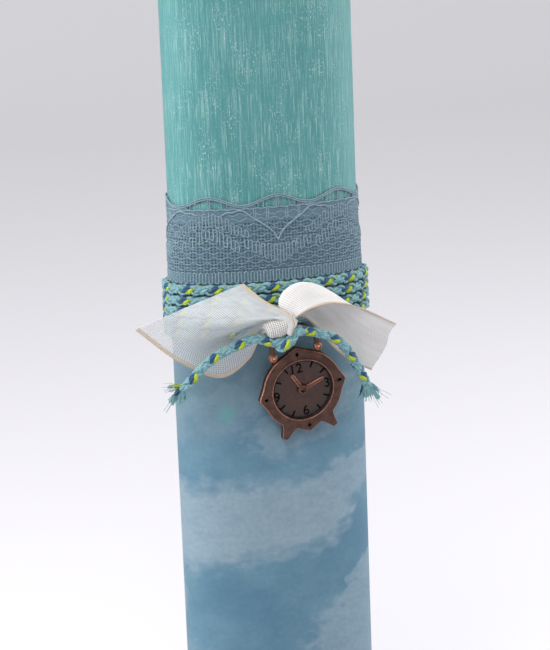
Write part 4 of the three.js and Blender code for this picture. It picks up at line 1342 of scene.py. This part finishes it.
def number_mesh(word):
    """A plain number as a thin mesh that faces -Y, its middle at the origin."""
    text = bpy.data.curves.new(f"number_{word}", "FONT")
    text.body = word
    text.size = NUMBER_SIZE
    text.extrude = 0.05 * MM
    text.align_x = "CENTER"
    text.align_y = "CENTER"
    drawn = bpy.data.objects.new("drawn", text)
    mesh = bpy.data.meshes.new_from_object(drawn)
    bpy.data.objects.remove(drawn)
    middle = sum((v.co for v in mesh.vertices), Vector()) / len(mesh.vertices)
    mesh.transform(Matrix.Rotation(math.pi / 2, 4, "X") @ Matrix.Translation(-middle))
    mesh.materials.clear()
    mesh.materials.append(PAINT)
    return new_object(f"number_{word}", mesh)


def make_dial_marks():
    """Plain numbers at the quarters and short ticks between, in black paint."""
    pieces = []
    for word, degrees, reach in NUMERALS:
        angle = degrees * DEGREE
        number = number_mesh(word)
        place = Vector((reach * math.sin(angle), 0, reach * math.cos(angle))) * MM
        place.y = -(DIAL_FLOOR + 0.04 * MM)
        number.data.transform(Matrix.Translation(place))
        pieces.append(number)
    points, faces = [], []
    for hour in range(12):
        if hour % 3 == 0:
            continue
        turn = Matrix.Rotation(hour * 30 * DEGREE, 3, "Y")
        faces += capped_faces(2, 4, start=len(points))
        for depth in (0.22, 0.38):
            for x, z in ((-0.2, 6.1), (0.2, 6.1), (0.2, 7.75), (-0.2, 7.75)):
                points.append(tuple(turn @ Vector((x, -depth, z)) * MM))
    pieces.append(new_mesh("hour_ticks", points, faces, [PAINT], smooth=False))
    for piece in pieces:
        piece.data.transform(charm_matrix())
    return pieces


def make_charm():
    """The casting's parts, which all ride on the charm's body."""
    body = make_charm_body()
    reach = RING_RADIUS + LUG_REACH - LUG_HOLE_INSET - 0.9 * MM
    for quarter in range(4):
        angle = quarter * math.pi / 2
        drill(body, reach * math.sin(angle), reach * math.cos(angle))
    pieces = [body, make_bail(), lathe("clock_hub", hub_profile(), (0, 0, 0)),
              make_hand("hour_hand", HOUR_LENGTH, HOUR_ANGLE),
              make_hand("minute_hand", MINUTE_LENGTH, MINUTE_ANGLE)]
    for side, word in ((-1, "left"), (1, "right")):
        place = (side * BAIL_ARCH, 0, BALL_CENTRE * math.cos(BALL_ANGLE))
        pieces.append(lathe(f"clock_ball_{word}", ball_profile(), place))
    for piece in pieces:
        piece.data.transform(charm_matrix())
    pieces += make_dial_marks()
    for piece in pieces:
        belong(piece, "charm", "antique_copper")
    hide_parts("clock_charm")


def make_camera():
    """The camera swings round a point of the candle's middle line, rolls a little and is
    set back and to its right."""
    data = bpy.data.cameras.new("camera")
    data.lens = CAMERA_LENS
    data.sensor_width = 36
    data.clip_start = 0.01
    camera = new_object("camera", data)
    tilt = Matrix.Rotation(math.pi / 2 - CAMERA_ELEVATION, 4, "X")
    swing = Matrix.Translation((0, 0, AIM_HEIGHT)) @ Matrix.Rotation(CAMERA_AZIMUTH, 4, "Z")
    set_back = Matrix.Translation((AIM_RIGHT, 0, CAMERA_DISTANCE))
    camera.matrix_world = swing @ tilt @ Matrix.Rotation(CAMERA_ROLL, 4, "Z") @ set_back
    bpy.context.scene.camera = camera


def make_lamp(name, place, power):
    data = bpy.data.lights.new(name, "AREA")
    data.energy = power
    data.size = LAMP_SIZE
    lamp = new_object(name, data)
    lamp.location = place
    lamp.rotation_euler = (Vector(place) - LAMP_AIM).to_track_quat("Z", "Y").to_euler()


def make_world():
    """An even sky that looks brighter to the camera than it lights."""
    world = bpy.data.worlds.new("studio")
    bpy.context.scene.world = world
    world.use_nodes = True
    tree = world.node_tree
    background = tree.nodes["Background"]
    background.inputs["Color"].default_value = (0.94, 0.96, 1, 1)
    rays = tree.nodes.new("ShaderNodeLightPath").outputs
    strength = tree.nodes.new("ShaderNodeMapRange")
    strength.inputs["To Min"].default_value = WORLD_LIGHT
    strength.inputs["To Max"].default_value = WORLD_SEEN
    tree.links.new(rays["Is Camera Ray"], strength.inputs["Value"])
    tree.links.new(strength.outputs["Result"], background.inputs["Strength"])


def make_studio():
    """A pale floor that curves up into a backdrop, soft side lamps and an even world."""
    floor = Material("pale_floor", colour(204, 202, 207), 0.95, Specular_IOR_Level=0.1,
                     Emission_Color=(1, 0.985, 1, 1))
    rays = floor.node("LightPath").outputs
    seen = floor.math("MAXIMUM", rays["Is Camera Ray"], rays["Is Glossy Ray"])
    seen = floor.math("MAXIMUM", seen, rays["Is Transmission Ray"])
    floor.set(Emission_Strength=floor.times(seen, FLOOR_GLOW))
    profile = [(FLOOR_FRONT, 0.0)]
    for a in np.linspace(0, math.pi / 2, 13):
        profile.append((FLOOR_BACK + BACKDROP_CURVE * math.sin(a),
                        BACKDROP_CURVE * (1 - math.cos(a))))
    profile.append((FLOOR_BACK + BACKDROP_CURVE, BACKDROP_TOP))
    points = [(x, y, z) for y, z in profile for x in (-STUDIO_HALF, STUDIO_HALF)]
    faces = turned_over(grid_faces(len(profile), 2))
    new_mesh("studio_sweep", points, faces, [floor.material])
    make_world()
    for name, place, power in LAMPS:
        make_lamp(name, place, power)


make_camera()
make_cords()
make_wax()
make_wick()
make_wrap()
make_lace()
make_ribbon_tails()
make_ribbon_knot()
make_charm()
make_studio()
bpy.context.scene.view_settings.view_transform = "Standard"
